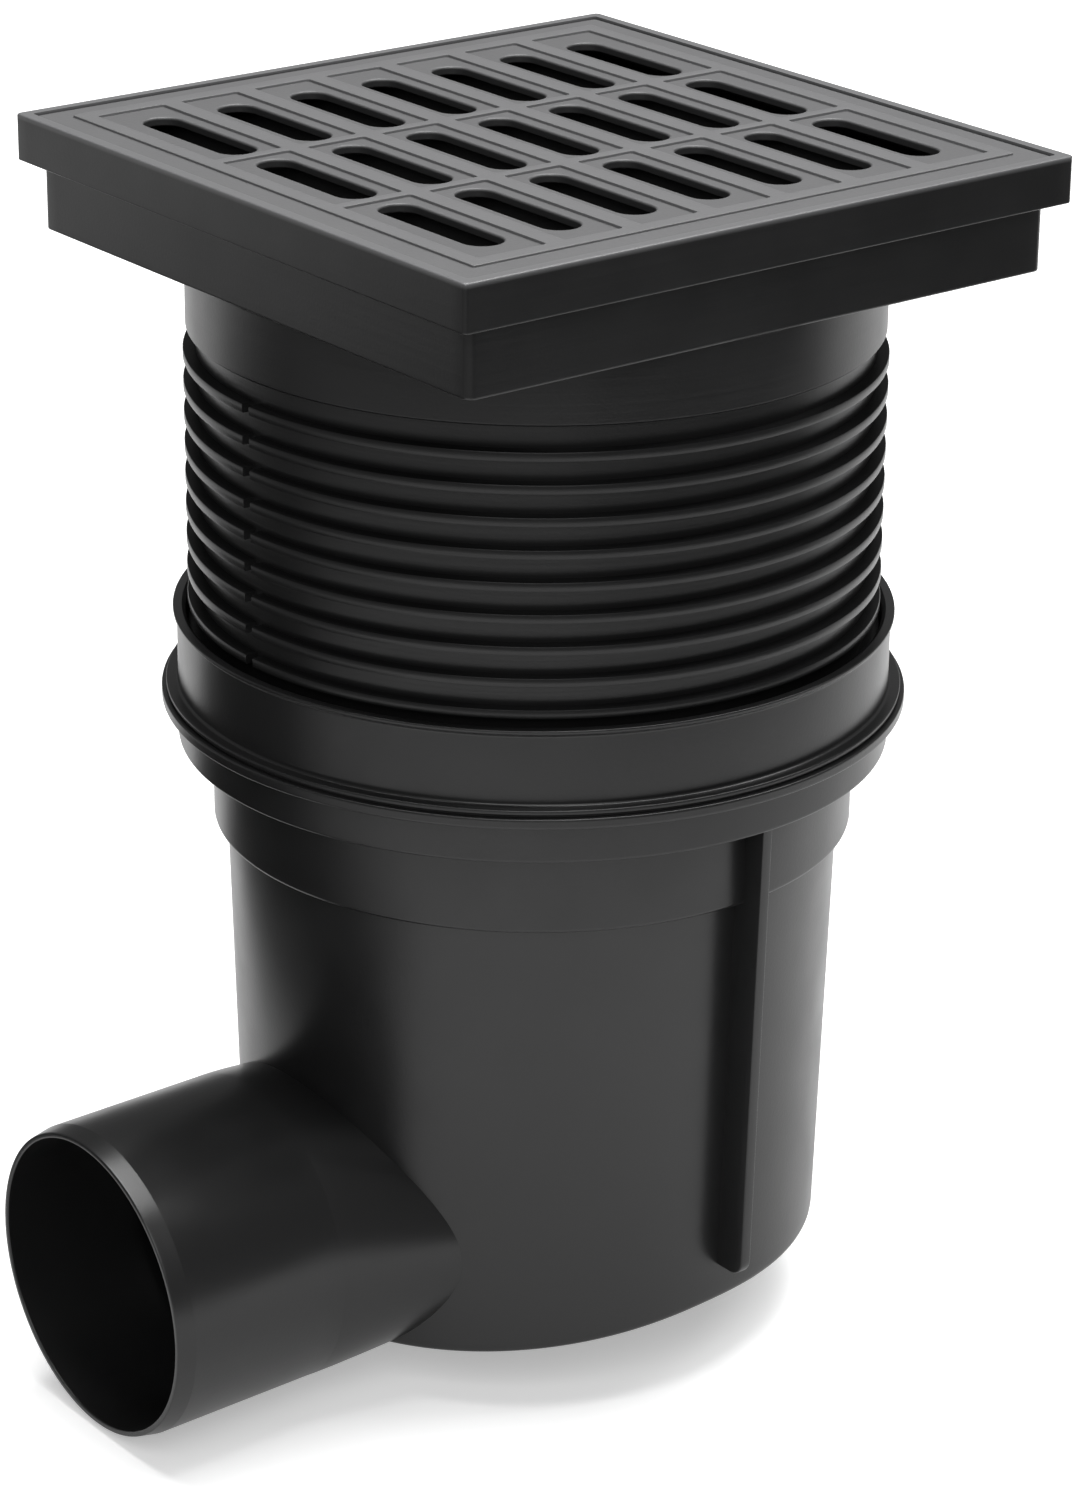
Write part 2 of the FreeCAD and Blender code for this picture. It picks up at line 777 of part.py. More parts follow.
pipe_hole = new_body("pipe_hole")
pipe_bore = S.spigot_radius - S.spigot_wall
turned(
    pipe_hole,
    "bore_of_pipe",
    [
        (ZERO, throat_end),
        (pipe_bore, throat_end),
        (pipe_bore, spigot_reach + S.spigot_wall),
        (ZERO, spigot_reach + S.spigot_wall),
    ],
)
follow_outlet(pipe_hole)

# two fins down the sides, from under the upper ring almost to the bottom edge
fins = new_body("fins")
fin_top = band_radius + S.fin_top_out
fin_end = band_radius + S.fin_end_out
fin_root = pot_radius - ring_foot * pot_slope - S.pot_wall / 2


def draw_fin(sketch):
    draw_outline(sketch, [
        (-fin_top, ring_foot + S.ledge_thick / 2), (-fin_root, ring_foot + S.ledge_thick / 2),
        (-fin_root, S.fin_end_level),
        (-fin_end + S.fin_end_round, S.fin_end_level),
        (-fin_end, S.fin_end_level + S.fin_end_round)])


fin = padded(
    fins, "fin", "YZ_Plane", draw_fin, S.fin_thick, S.fin_offset - S.fin_thick / 2
)
other_fin = fins.newObject("PartDesign::Mirrored", "other_fin")
other_fin.Originals = [fin]
other_fin.MirrorPlane = (origin_plane(fins, "XZ_Plane"), [""])
fins.Tip = other_fin
doc.recompute()

foot = new_body("foot")
foot_top = S.floor_level + S.floor_thick / 2
turned(
    foot,
    "foot_ring",
    [
        (foot_radius - S.foot_wall, ZERO),
        (foot_radius, ZERO),
        (foot_radius, foot_top + foot_radius * fall_slope),
        (foot_radius - S.foot_wall, foot_top + foot_radius * fall_slope),
    ],
)
web_half = foot_radius - S.foot_wall / 2
foot_ceiling = foot_top + foot_radius * fall_slope
padded(
    foot, "web_across", "XY_Plane", rectangle(S.foot_wall / 2, web_half), foot_ceiling
)
padded(
    foot, "web_along", "XY_Plane", rectangle(web_half, S.foot_wall / 2), foot_ceiling
)
padded(
    foot, "foot_trim", "XZ_Plane",
    lambda sketch: draw_outline(sketch, [
        (-side, foot_top - side * fall_slope), (side, foot_top + side * fall_slope),
        (side, foot_top + side), (-side, foot_top + side)]),
    side * 3, cut=True, middle=True,
)

outer = boolean("Part::MultiFuse", "sump_outer", [shell, spigot, throat, fins, foot])
inner = boolean("Part::MultiFuse", "sump_inner", [hollow, pipe_hole, throat_hole])
sump = boolean("Part::Cut", "sump", [outer, inner])
SUBPARTS.append(sump)

# Silt bucket and its handle
bucket = new_body("silt_bucket")
rim_radius = band_bore - S.bucket_rim_gap
rim_top = pot_ledge + S.bucket_rim_thick
bucket_top = pot_bore - S.bucket_gap
bucket_slope = tangent(S.bucket_draft)
rim_inner = bucket_top - S.bucket_wall - S.bucket_rim_lip
bucket_foot = pot_ledge - S.bucket_tall
bucket_bottom = bucket_top - S.bucket_tall * bucket_slope
turned(
    bucket,
    "basket",
    [
        (ZERO, bucket_foot),
        (bucket_bottom, bucket_foot),
        (bucket_top, pot_ledge),
        (rim_radius, pot_ledge),
        (rim_radius, rim_top),
        (rim_inner, rim_top),
        (rim_inner, pot_ledge),
        (bucket_top - S.bucket_wall, pot_ledge),
        (bucket_bottom - S.bucket_wall, bucket_foot + S.bucket_wall),
        (ZERO, bucket_foot + S.bucket_wall),
    ],
)
slot_tall = S.bucket_tall - S.bucket_slot_margin
drain = padded(
    bucket, "drain_slot", "XZ_Plane",
    rectangle(S.bucket_slot_wide / 2, slot_tall / 2, None,
              bucket_foot + S.bucket_wall * 2 + slot_tall / 2),
    bucket_top * 1.1, cut=True, reverse=False,
)
drains = bucket.newObject("PartDesign::PolarPattern", "drain_slots")
drains.Originals = [drain]
drains.Axis = (origin_plane(bucket, "Z_Axis"), [""])
drains.Angle = 360.0
drains.setExpression("Occurrences", S.bucket_slots.text)
bucket.Tip = drains
doc.recompute()
# lugs for the handle, standing on the rim at +X and -X
lug_face = bucket_top - S.bucket_wall
lug_middle = lug_face + S.lug_thick / 2
pivot_level = rim_top + S.wire_radius + S.seat_gap
for side_name, sign in (("left", -1.0), ("right", 1.0)):
    padded(
        bucket, "lug_" + side_name, "XY_Plane",
        rectangle(S.lug_thick / 2, S.lug_wide / 2, lug_middle * sign),
        S.lug_tall + S.bucket_rim_thick / 2, rim_top - S.bucket_rim_thick / 2,
    )
padded(
    bucket, "pivot_holes", "YZ_Plane",
    lambda sketch: draw_circle(sketch, ZERO, pivot_level, S.wire_radius + S.pin_gap),
    rim_radius * 2, cut=True, middle=True,
)
SUBPARTS.append(bucket)

handle = new_body("bucket_handle")
stub_end = lug_middle + S.lug_thick / 2 + S.wire_out
bend = S.wire_radius + S.wire_bend
stub_start = lug_face - S.wire_out
bow = stub_start - bend
path = new_sketch(handle, "XY_Plane", "bail_path")


def draw_bail(sketch):
    """Half ring with two short stubs that turn out through the lugs."""
    quarter = math.pi / 2
    parts = []
    parts.append(Part.LineSegment(vec(stub_end.value, 0, 0), vec(stub_start.value, 0, 0)))
    parts.append(Part.ArcOfCircle(Part.Circle(
        vec(stub_start.value, bend.value, 0), vec(0, 0, 1), bend.value), 2 * quarter, 3 * quarter))
    parts.append(Part.ArcOfCircle(Part.Circle(
        vec(0, bend.value, 0), vec(0, 0, 1), bow.value), 0, 2 * quarter))
    parts.append(Part.ArcOfCircle(Part.Circle(
        vec(-stub_start.value, bend.value, 0), vec(0, 0, 1), bend.value), 3 * quarter, 4 * quarter))
    parts.append(Part.LineSegment(vec(-stub_start.value, 0, 0), vec(-stub_end.value, 0, 0)))
    for part in parts:
        sketch.addGeometry(part, False)
    for a, a_end, b, b_end in ((0, 2, 1, 2), (1, 1, 2, 1), (2, 2, 3, 2), (3, 1, 4, 1)):
        sketch.addConstraint(Sketcher.Constraint("Tangent", a, a_end, b, b_end))
    for geo in (0, 4):
        sketch.addConstraint(Sketcher.Constraint("Horizontal", geo))
    fix_point(sketch, 0, 1, stub_end, ZERO)
    fix_point(sketch, 4, 2, -stub_end, ZERO)
    drive(sketch, "Radius", (1,), bend)
    drive(sketch, "Radius", (3,), bend)
    drive(sketch, "DistanceX", (-1, 1, 0, 2), stub_start)
    fix_point(sketch, 2, 3, ZERO, bend)


draw_bail(path)
wire_end = new_sketch(handle, "YZ_Plane", "wire_section", stub_end)
draw_circle(wire_end, ZERO, ZERO, S.wire_radius)
doc.recompute()
bail = handle.newObject("PartDesign::AdditivePipe", "bail")
bail.Profile = wire_end
bail.Spine = path
doc.recompute()
place(handle, (ZERO, ZERO, pivot_level), UPRIGHT)
SUBPARTS.append(handle)

# Flap trap in the outlet's mouth
# each piece is drawn about +Z = out along the outlet, then placed on the pipe's axis;
# in that frame up is +X
seat = new_body("flap_seat")
seat_radius = pipe_bore - S.seat_gap
seat_hole = seat_radius - S.seat_ring
seat_back = throat_end + S.seat_inset
seat_front = seat_back + S.seat_deep
pin_level = seat_radius - S.flap_pin_drop
turned(
    seat,
    "seat_ring_turned",
    [
        (seat_hole, seat_back),
        (seat_radius, seat_back),
        (seat_radius, seat_front),
        (seat_hole, seat_front),
    ],
)
seal_back = seat_front + S.flap_gap
flap_back = seal_back + S.flap_seal_thick
pin_depth = flap_back + S.flap_thick / 2
ear_inner = S.knuckle_long / 2 + S.ear_gap
ear_outer = ear_inner + S.ear_thick
ear_low = pin_level - S.knuckle_radius
flap_top = ear_low - S.flap_top_gap
bridge_foot = pin_level - S.bridge_low
ear_high = seat_radius - S.ear_thick
# bridge across the top of the seat; with the ring it makes a D-shaped mouth
bridge_wide = seat_radius * 0.76
bridge_top = seat_radius * 0.86
bridge_narrow = seat_radius * 0.46
padded(
    seat, "bridge", "XY_Plane",
    lambda sketch: draw_outline(sketch, [
        (bridge_foot, -bridge_wide), (bridge_top, -bridge_narrow),
        (bridge_top, bridge_narrow), (bridge_foot, bridge_wide)]),
    S.bridge_deep, seat_back,
)
for side_name, sign in (("near", -1.0), ("far", 1.0)):
    padded(
        seat, "ear_" + side_name, "XY_Plane",
        rectangle((ear_high - ear_low) / 2, S.ear_thick / 2, (ear_high + ear_low) / 2,
                  (ear_inner + S.ear_thick / 2) * sign),
        pin_depth + S.knuckle_radius - seat_front + S.ear_root, seat_front - S.ear_root,
    )
padded(
    seat, "pin_hole", "XZ_Plane",
    lambda sketch: draw_circle(sketch, pin_level, pin_depth, S.flap_pin_radius),
    ear_outer * 4, cut=True, middle=True,
)
SUBPARTS.append(seat)

flap_radius = seat_hole + S.flap_lap
flap = new_body("flap")
padded(
    flap, "disc", "XY_Plane", lambda sketch: draw_circle(sketch, ZERO, ZERO, flap_radius),
    S.flap_thick, flap_back,
)
# straight top edge, so that the disc swings clear of the round pipe
padded(
    flap, "top_edge", "XY_Plane",
    rectangle(flap_radius / 2, flap_radius * 1.2, flap_top + flap_radius / 2),
    S.flap_thick * 3, flap_back - S.flap_thick, cut=True, reverse=True,
)
neck_half = (pin_level - flap_top + S.flap_lap) / 2
padded(
    flap, "neck", "XY_Plane",
    rectangle(neck_half, S.knuckle_long / 2, pin_level - neck_half),
    S.flap_thick, flap_back,
)
padded(
    flap, "knuckle", "XZ_Plane",
    lambda sketch: draw_circle(sketch, pin_level, pin_depth, S.knuckle_radius),
    S.knuckle_long, middle=True,
)
padded(
    flap, "knuckle_bore", "XZ_Plane",
    lambda sketch: draw_circle(sketch, pin_level, pin_depth, S.flap_pin_radius + S.pin_gap),
    S.knuckle_long * 2, cut=True, middle=True,
)
SUBPARTS.append(flap)

flap_seal = new_body("flap_seal")
seal_outer = flap_radius - S.flap_seal_inset
padded(
    flap_seal, "seal_disc", "XY_Plane",
    lambda sketch: draw_circle(sketch, ZERO, ZERO, seal_outer),
    S.flap_seal_thick, seal_back,
)
padded(
    flap_seal, "seal_top", "XY_Plane",
    rectangle(flap_radius / 2, flap_radius * 1.2, flap_top - S.flap_seal_inset + flap_radius / 2),
    S.flap_seal_thick * 3, seal_back - S.flap_seal_thick, cut=True, reverse=True,
)
SUBPARTS.append(flap_seal)

flap_pin = new_body("flap_pin")
padded(
    flap_pin, "pin", "XZ_Plane",
    lambda sketch: draw_circle(sketch, pin_level, pin_depth, S.flap_pin_radius),
    ear_outer * 2, middle=True,
)
SUBPARTS.append(flap_pin)

for piece in (seat, flap, flap_seal, flap_pin):
    follow_outlet(piece)
doc.recompute()

# Checks and files
failed = [
    "%s (%s)" % (o.Name, o.getStatusString())
    for o in doc.Objects
    if "Invalid" in o.State or "Error" in o.State
]
if failed:
    raise RuntimeError("objects not computed: " + ", ".join(failed))
for piece in SUBPARTS:
    shape = piece.Shape
    if shape.isNull() or not shape.isValid() or len(shape.Solids) != 1:
        raise RuntimeError("%s: bad shape, %d solids" % (piece.Label, len(shape.Solids)))
for piece in SUBPARTS:
    piece.Shape.exportStep("parts/%s.step" % piece.Label)
    box = piece.Shape.BoundBox
    print("%-14s volume %9.0f  z %6.1f to %6.1f" % (piece.Label, piece.Shape.Volume, box.ZMin, box.ZMax))
print("handle pivot z", round(pivot_level.value, 3))
print("flap pin", flap_pin.Shape.CenterOfMass)
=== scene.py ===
import math

import bmesh
import bpy
import numpy as np
from mathutils import Matrix, Vector


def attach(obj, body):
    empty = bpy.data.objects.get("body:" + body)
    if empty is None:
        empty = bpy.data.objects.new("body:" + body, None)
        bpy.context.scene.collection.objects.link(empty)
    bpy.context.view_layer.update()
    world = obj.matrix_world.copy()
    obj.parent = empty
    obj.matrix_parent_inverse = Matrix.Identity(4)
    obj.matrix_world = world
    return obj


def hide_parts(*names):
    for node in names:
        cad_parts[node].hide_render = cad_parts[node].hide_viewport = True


# Floor gully, black plastic, on a white ground. Metres, same frame as the solids:
# +Z up, origin under the sump, outlet towards -X.

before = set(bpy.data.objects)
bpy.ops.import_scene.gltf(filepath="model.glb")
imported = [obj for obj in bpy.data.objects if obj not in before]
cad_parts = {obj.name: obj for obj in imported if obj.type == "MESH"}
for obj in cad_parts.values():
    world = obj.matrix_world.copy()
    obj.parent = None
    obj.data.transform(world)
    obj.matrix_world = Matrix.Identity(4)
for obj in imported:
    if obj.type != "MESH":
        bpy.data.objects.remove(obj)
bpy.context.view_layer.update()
MM = 0.001
scene = bpy.context.scene

# Camera, as the photograph was taken
FOCAL_PX = 4575.42
PHOTO_TALL_PX = 1500.0
DISTANCE_MM = 1515.64
AZIMUTH, ELEVATION, ROLL = (math.radians(a) for a in (-38.2006, 22.2967, 0.5655))
SIDE_MM, RISE_MM = 0.7836, -204.60
TOP_MM = 427.0

right0 = Vector((math.cos(AZIMUTH), math.sin(AZIMUTH), 0))
back = Vector((math.sin(AZIMUTH) * math.cos(ELEVATION),
               -math.cos(AZIMUTH) * math.cos(ELEVATION), math.sin(ELEVATION)))
up0 = back.cross(right0)
right = right0 * math.cos(ROLL) + up0 * math.sin(ROLL)
up = up0 * math.cos(ROLL) - right0 * math.sin(ROLL)

camera_data = bpy.data.cameras.new("camera")
camera_data.sensor_fit = "AUTO"
camera_data.sensor_width = 36.0
camera_data.lens = FOCAL_PX * 36.0 / PHOTO_TALL_PX
camera_data.clip_start, camera_data.clip_end = 0.05, 50.0
camera = bpy.data.objects.new("camera", camera_data)
scene.collection.objects.link(camera)
place = (right * SIDE_MM + up * RISE_MM + back * DISTANCE_MM + Vector((0, 0, TOP_MM))) * MM
camera.matrix_world = Matrix.Translation(place) @ Matrix((right, up, back)).transposed().to_4x4()
scene.camera = camera
scene.view_settings.view_transform = "Standard"


# Sizes in millimetres. They are the solids' own, but for the levels and the gap at the top,
# the bend in the floor's fall, the throat's ease and the round of the fins' feet.
FRAME_HALF, FRAME_TALL, RECESS_HALF = 125.0, 16.5, 120.8
SKIRT_HALF, SKIRT_TALL, HOPPER_HALF, HOPPER_FLOOR = 118.8, 23.5, 115.6, 3.0
NECK_R, NECK_TALL, CORE_R, RIB_R, BORE_R = 118.0, 23.7, 114.7, 119.0, 111.5
RIB_THICK, RIB_PITCH, RIB_COUNT, RIB_FIRST, TUBE_END, NOTCH = 3.3, 10.87, 13, 8.0, 5.3, 3.6
GRATE_HALF, FIELD_HALF, CELLS_HALF, POCKET_HALF = 119.9, 111.2, 107.2, 105.2
STEP, GRATE_THICK = 1.3, 9.0
POCKET_LEVEL, PLATE, SLOT_PITCH, ROW_PITCH, COLUMNS, ROWS = 425.7, 3.0, 210.4 / 7, 66.5, 7, 3
FRAME_TOP, BORDER_LEVEL, PLATE_TOP = 426.5, 425.8, 426.6
SLOT_WIDE, SLOT_LONG, COLUMN_BAR, ROW_BAR, UNDER_RIB, UNDER_DEEP = 14.0, 56.0, 7.0, 4.0, 5.0, 9.0
SOCKET_R, COLLAR_R, LIP_R, FLANGE_R = 119.8, 122.9, 124.2, 127.0
SUMP_FLANGE_R, RING_R, BAND_R, BAND_IN, POT_R, POT_WALL = 128.6, 123.1, 111.3, 108.1, 106.7, 3.2
RING_TALL, FLANGE_THICK, GASKET_THICK, TUBE_GAP = 14.1, 3.6, 0.8, 3.0
COLLAR_TALL, COLLAR_FLANGE, LIP_TALL, BAND_TALL, LEDGE_THICK = 28.1, 1.6, 2.4, 30.4, 3.2
TAPER, SLOPE = math.tan(math.radians(1.53)), math.tan(math.radians(7.8))
FLOOR_Z, FLOOR_THICK, FALL_BEND = 32.5, 3.4, 12.0
PIPE_R, PIPE_WALL, PIPE_Z, PIPE_FALL = 55.0, 3.2, 59.6, math.radians(1.0)
PIPE_END, PIPE_LEAD, LEAD_DEEP = 188.5, 6.5, 1.3
THROAT_WIDE, THROAT_TALL, THROAT_START, THROAT_END = 70.0, 42.3, 62.0, 122.0
THROAT_EASE = 1.3
FIN_THICK, FIN_X, FIN_TOP, FIN_END, FIN_FOOT, FIN_ROUND = 4.0, 5.0, 120.3, 115.5, 46.0, 6.0
FOOT_R, FOOT_WALL = 50.0, 4.0

skirt_foot = TOP_MM - FRAME_TALL - SKIRT_TALL
neck_foot = skirt_foot - NECK_TALL
rib_tops = neck_foot - RIB_FIRST - RIB_PITCH * np.arange(RIB_COUNT)
tube_foot = rib_tops[-1] - TUBE_END
seat_z = TOP_MM - STEP - GRATE_THICK
ring_foot = tube_foot - TUBE_GAP
flange_top = ring_foot + RING_TALL + FLANGE_THICK
collar_foot = flange_top + GASKET_THICK
collar_top = collar_foot + COLLAR_TALL
band_foot = ring_foot - BAND_TALL
pot_ledge = band_foot + LEDGE_THICK


# Materials
def new_material(name):
    material = bpy.data.materials.new(name)
    material.use_nodes = True
    nodes = material.node_tree.nodes
    return material, nodes, material.node_tree.links, nodes["Principled BSDF"]


def add(nodes, kind, **values):
    """Node of a kind with its properties and input values set."""
    node = nodes.new(kind)
    for key, value in values.items():
        if hasattr(node, key):
            setattr(node, key, value)
        else:
            node.inputs[key].default_value = value
    return node


class Wiring:
    """Short names for the nodes of one tree that work on one vector, and on numbers."""

    def __init__(self, tree, vector=None):
        self.tree, self.nodes, self.links, self.vector = tree, tree.nodes, tree.links, vector

    def feed(self, socket, source):
        """Links a node's output to the socket, or sets the socket to a value."""
        if isinstance(source, bpy.types.NodeSocket):
            self.links.new(source, socket)
        else:
            socket.default_value = source

    def maths(self, operation, *sources):
        node = add(self.nodes, "ShaderNodeMath", operation=operation)
        for socket, source in zip(node.inputs, sources):
            self.feed(socket, source)
        return node.outputs[0]

    def mix(self, share, first, second):
        """Colour from the first to the second by the share."""
        node = add(self.nodes, "ShaderNodeMix", data_type="RGBA")
        for socket, source in ((0, share), (6, first), (7, second)):
            self.feed(node.inputs[socket], source)
        return node.outputs[2]

    def along(self, axis):
        """How far the vector reaches along an axis."""
        node = add(self.nodes, "ShaderNodeVectorMath", operation="DOT_PRODUCT")
        self.links.new(self.vector, node.inputs[0])
        node.inputs[1].default_value = axis
        return node.outputs["Value"]

    def distance(self):
        """Length of the vector."""
        node = add(self.nodes, "ShaderNodeVectorMath", operation="LENGTH")
        self.links.new(self.vector, node.inputs[0])
        return node.outputs["Value"]

    def noise(self, **values):
        node = add(self.nodes, "ShaderNodeTexNoise", **values)
        self.links.new(self.vector, node.inputs["Vector"])
        return node.outputs["Fac"]

    def ramp(self, source, low=0.0, high=1.0, start=0.0, end=1.0, kind="SMOOTHSTEP"):
        """From start to end as the source goes from low to high."""
        node = add(self.nodes, "ShaderNodeMapRange", interpolation_type=kind)
        for key, value in (("From Min", low), ("From Max", high), ("To Min", start), ("To Max", end)):
            node.inputs[key].default_value = value
        self.links.new(source, node.inputs["Value"])
        return node.outputs["Result"]

    def seen(self):
        """1 for what is seen by the camera, straight or through glass, and 0 for the rest."""
        path = add(self.nodes, "ShaderNodeLightPath").outputs
        return self.maths("MAXIMUM", path["Is Camera Ray"], path["Is Transmission Ray"])


UPWARDS = (0, 0, 1)
# heights over which the painted sheen at the top comes in
SHEEN_FROM, SHEEN_FULL = TOP_MM - 2.4, TOP_MM - 0.9
CLOUD_SCALE, BLOTCH_SCALE, GRAIN_SCALE, STREAK_SCALE = 14.0, 45.0, 900.0, (6.0, 6.0, 420.0)
GRAIN_DEEP, STREAK_DEEP = 0.0002, 0.0004
GLOSS_UNDER, GLOSS_OVER = 0.05, 0.07
# the ribs' level ledges lose their gloss: painted shade for the gaps between the ribs
LEDGE_PAINTED_SHADE = {"Specular IOR Level": (0.5, 0.04), "Specular Tint": (1.0, 0.2)}


def plastic(name, shade, rough, grain=0.12, streaks=0.0, top_sheen=None, shaded_ledges=None):
    """Black moulded plastic: faint cloudy shade, fine grain, uneven gloss, flow streaks.

    The greyer shade for the faces at the very top is painted sheen of the light from above. Inside
    the distance from the axis given for the ribs' ledges, level faces lose their gloss: painted shade
    for the dark gaps between the ribs."""
    material, nodes, links, principled = new_material(name)
    where = add(nodes, "ShaderNodeTexCoord").outputs["Object"]
    wiring = Wiring(material.node_tree, where)
    colour = wiring.mix(wiring.noise(Scale=CLOUD_SCALE, Detail=4.0),
                        (shade * 0.8, shade * 0.8, shade * 0.82, 1),
                        (shade * 1.25, shade * 1.25, shade * 1.28, 1))
    # painted sheen: the faces at the very top turn to the greyer shade
    if top_sheen:
        sheen_share = wiring.ramp(wiring.along(UPWARDS), SHEEN_FROM * MM, SHEEN_FULL * MM, kind="LINEAR")
        colour = wiring.mix(sheen_share, colour, (top_sheen, top_sheen, top_sheen * 1.02, 1))
    links.new(colour, principled.inputs["Base Color"])
    # painted shade: level faces inside the radius, the ribs' ledges, lose their gloss
    if shaded_ledges:
        x, y = wiring.along((1, 0, 0)), wiring.along((0, 1, 0))
        squares = wiring.maths("ADD", wiring.maths("MULTIPLY", x, x), wiring.maths("MULTIPLY", y, y))
        inside = wiring.maths("LESS_THAN", wiring.maths("SQRT", squares), shaded_ledges)
        facing = Wiring(material.node_tree, add(nodes, "ShaderNodeNewGeometry").outputs["Normal"])
        level = wiring.maths("ABSOLUTE", facing.along(UPWARDS))
        ledge = wiring.maths("MULTIPLY", level, inside)
        for socket, (start, end) in LEDGE_PAINTED_SHADE.items():
            links.new(wiring.ramp(ledge, start=start, end=end, kind="LINEAR"), principled.inputs[socket])
    gloss = wiring.ramp(wiring.noise(Scale=BLOTCH_SCALE, Detail=5.0),
                        start=rough - GLOSS_UNDER, end=rough + GLOSS_OVER, kind="LINEAR")
    links.new(gloss, principled.inputs["Roughness"])
    bump = add(nodes, "ShaderNodeBump", Strength=grain, Distance=GRAIN_DEEP)
    links.new(wiring.noise(Scale=GRAIN_SCALE, Detail=2.0), bump.inputs["Height"])
    if streaks:
        stretched = add(nodes, "ShaderNodeMapping", Scale=STREAK_SCALE)
        links.new(where, stretched.inputs["Vector"])
        lines = Wiring(material.node_tree, stretched.outputs["Vector"])
        drawn = add(nodes, "ShaderNodeBump", Strength=streaks, Distance=STREAK_DEEP)
        links.new(lines.noise(Scale=1.0, Detail=3.0), drawn.inputs["Height"])
        links.new(drawn.outputs["Normal"], bump.inputs["Normal"])
    links.new(bump.outputs["Normal"], principled.inputs["Normal"])
    return material


# The greyer top shade of the riser and the grate is painted sheen.
FINISHES = {
    "sump": plastic("sump_plastic", 0.007, 0.3),
    "riser": plastic("riser_plastic", 0.0075, 0.31, streaks=0.12, top_sheen=0.11,
                     # painted shade on the ribs' ledges
                     shaded_ledges=(RIB_R + 0.5) * MM),
    "grate": plastic("grate_plastic", 0.02, 0.48, grain=0.3, top_sheen=0.095),
    "collar": plastic("collar_plastic", 0.007, 0.3),
}
rubber = plastic("rubber", 0.016, 0.6, grain=0.2)
inner = plastic("inner_plastic", 0.07, 0.45)
steel, nodes, links, principled = new_material("steel_wire")
principled.inputs["Metallic"].default_value = 1.0
principled.inputs["Roughness"].default_value = 0.3
for name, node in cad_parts.items():
    material = FINISHES.get(name, inner)
    if "seal" in name or "gasket" in name:
        material = rubber
    if name in ("bucket_handle", "flap_pin"):
        material = steel
    node.data.materials.clear()
    node.data.materials.append(material)


# Surfaces as rows of points
def profile(corners, steps=3, support=0.5, closed=True):
    """Rows along a profile given by its corners (size, height, round, tags).

    Each corner becomes an arc of its round between the points where the arc touches its two
    sides, in equal steps. One row is added a little before and one after the arc, so that the
    flat sides shade flat. The corner's tags go to all its rows."""
    table = np.array(corners, float)
    rows = []
    for i, here in enumerate(table):
        if not closed and i in (0, len(table) - 1) or here[2] <= 0:
            rows.append(here[None])
            continue
        to_last = table[i - 1, :2] - here[:2]
        to_next = table[(i + 1) % len(table), :2] - here[:2]
        last_long, next_long = np.hypot(*to_last), np.hypot(*to_next)
        to_last, to_next = to_last / last_long, to_next / next_long
        half = math.acos(np.clip(to_last @ to_next, -1, 1)) / 2
        reach = here[2] / math.tan(half)
        middle = to_last + to_next
        centre = here[:2] + middle / np.hypot(*middle) * here[2] / math.sin(half)
        a = here[:2] + to_last * reach - centre
        b = here[:2] + to_next * reach - centre
        turn = math.atan2(a[0] * b[1] - a[1] * b[0], a @ b)
        angle = np.linspace(0, turn, steps + 1)[:, None]
        arc = centre + a * np.cos(angle) + np.stack([-a[1], a[0]]) * np.sin(angle)
        if support:
            before = here[:2] + to_last * min(reach + support, max(reach, last_long / 2))
            after = here[:2] + to_next * min(reach + support, max(reach, next_long / 2))
            arc = np.vstack([before, arc, after])
        tags = np.repeat(here[None], len(arc), 0)
        tags[:, :2] = arc
        rows.append(tags)
    return np.vstack(rows)


def directions(side_steps, corner_steps):
    """Four quarters of a rounded rectangle: place along the side (-1 to 1), turn of the arc."""
    along = np.concatenate([np.linspace(-1, 1, side_steps), np.ones(corner_steps)])
    turn = np.linspace(0, math.pi / 2, corner_steps + 2)[1:-1]
    turn = np.concatenate([np.zeros(side_steps), turn])
    return np.tile(along, 4), np.tile(turn, 4), np.repeat(np.arange(4), len(along))


def rectangle_ring(half_x, half_y, corner, along, turn, quarter):
    """Rounded rectangles, (rows, directions, 2).

    In each quarter the outline runs up one side, out = half side, and round the corner arc,
    out = half side - corner + corner cos(turn), and is then turned by quarters."""
    half_x, half_y, corner = (np.reshape(v, (-1, 1)) for v in (half_x, half_y, corner))
    upright = quarter % 2 == 0
    out, reach = np.where(upright, half_x, half_y), np.where(upright, half_y, half_x) - corner
    x = out - corner + corner * np.cos(turn)
    y = along * reach + corner * np.sin(turn)
    c, s = np.cos(quarter * math.pi / 2).round(), np.sin(quarter * math.pi / 2).round()
    return np.stack([x * c - y * s, x * s + y * c], -1)


def lift(flat, height):
    """Puts flat rings (rows, directions, 2) at their heights (rows, or rows by directions)."""
    height = np.reshape(height, (len(height), -1))
    return np.concatenate([flat, np.broadcast_to(height, flat.shape[:2])[..., None]], -1)


def fall(x):
    """Height of the sloping floor over its level on the right: level, then down to the outlet."""
    return SLOPE * (x - np.hypot(x, FALL_BEND)) / 2


def revolve(rows, angle, tilt=None):
    """Surface of revolution: each row's radius turned through the angles at its height.

    With a tilt, a row's height follows the floor's fall by its share."""
    flat = rows[:, 0][:, None, None] * np.stack([np.cos(angle), np.sin(angle)], -1)[None]
    height = rows[:, 1:2] + (0 if tilt is None else tilt[:, None] * fall(flat[..., 0]))
    return lift(flat, height)


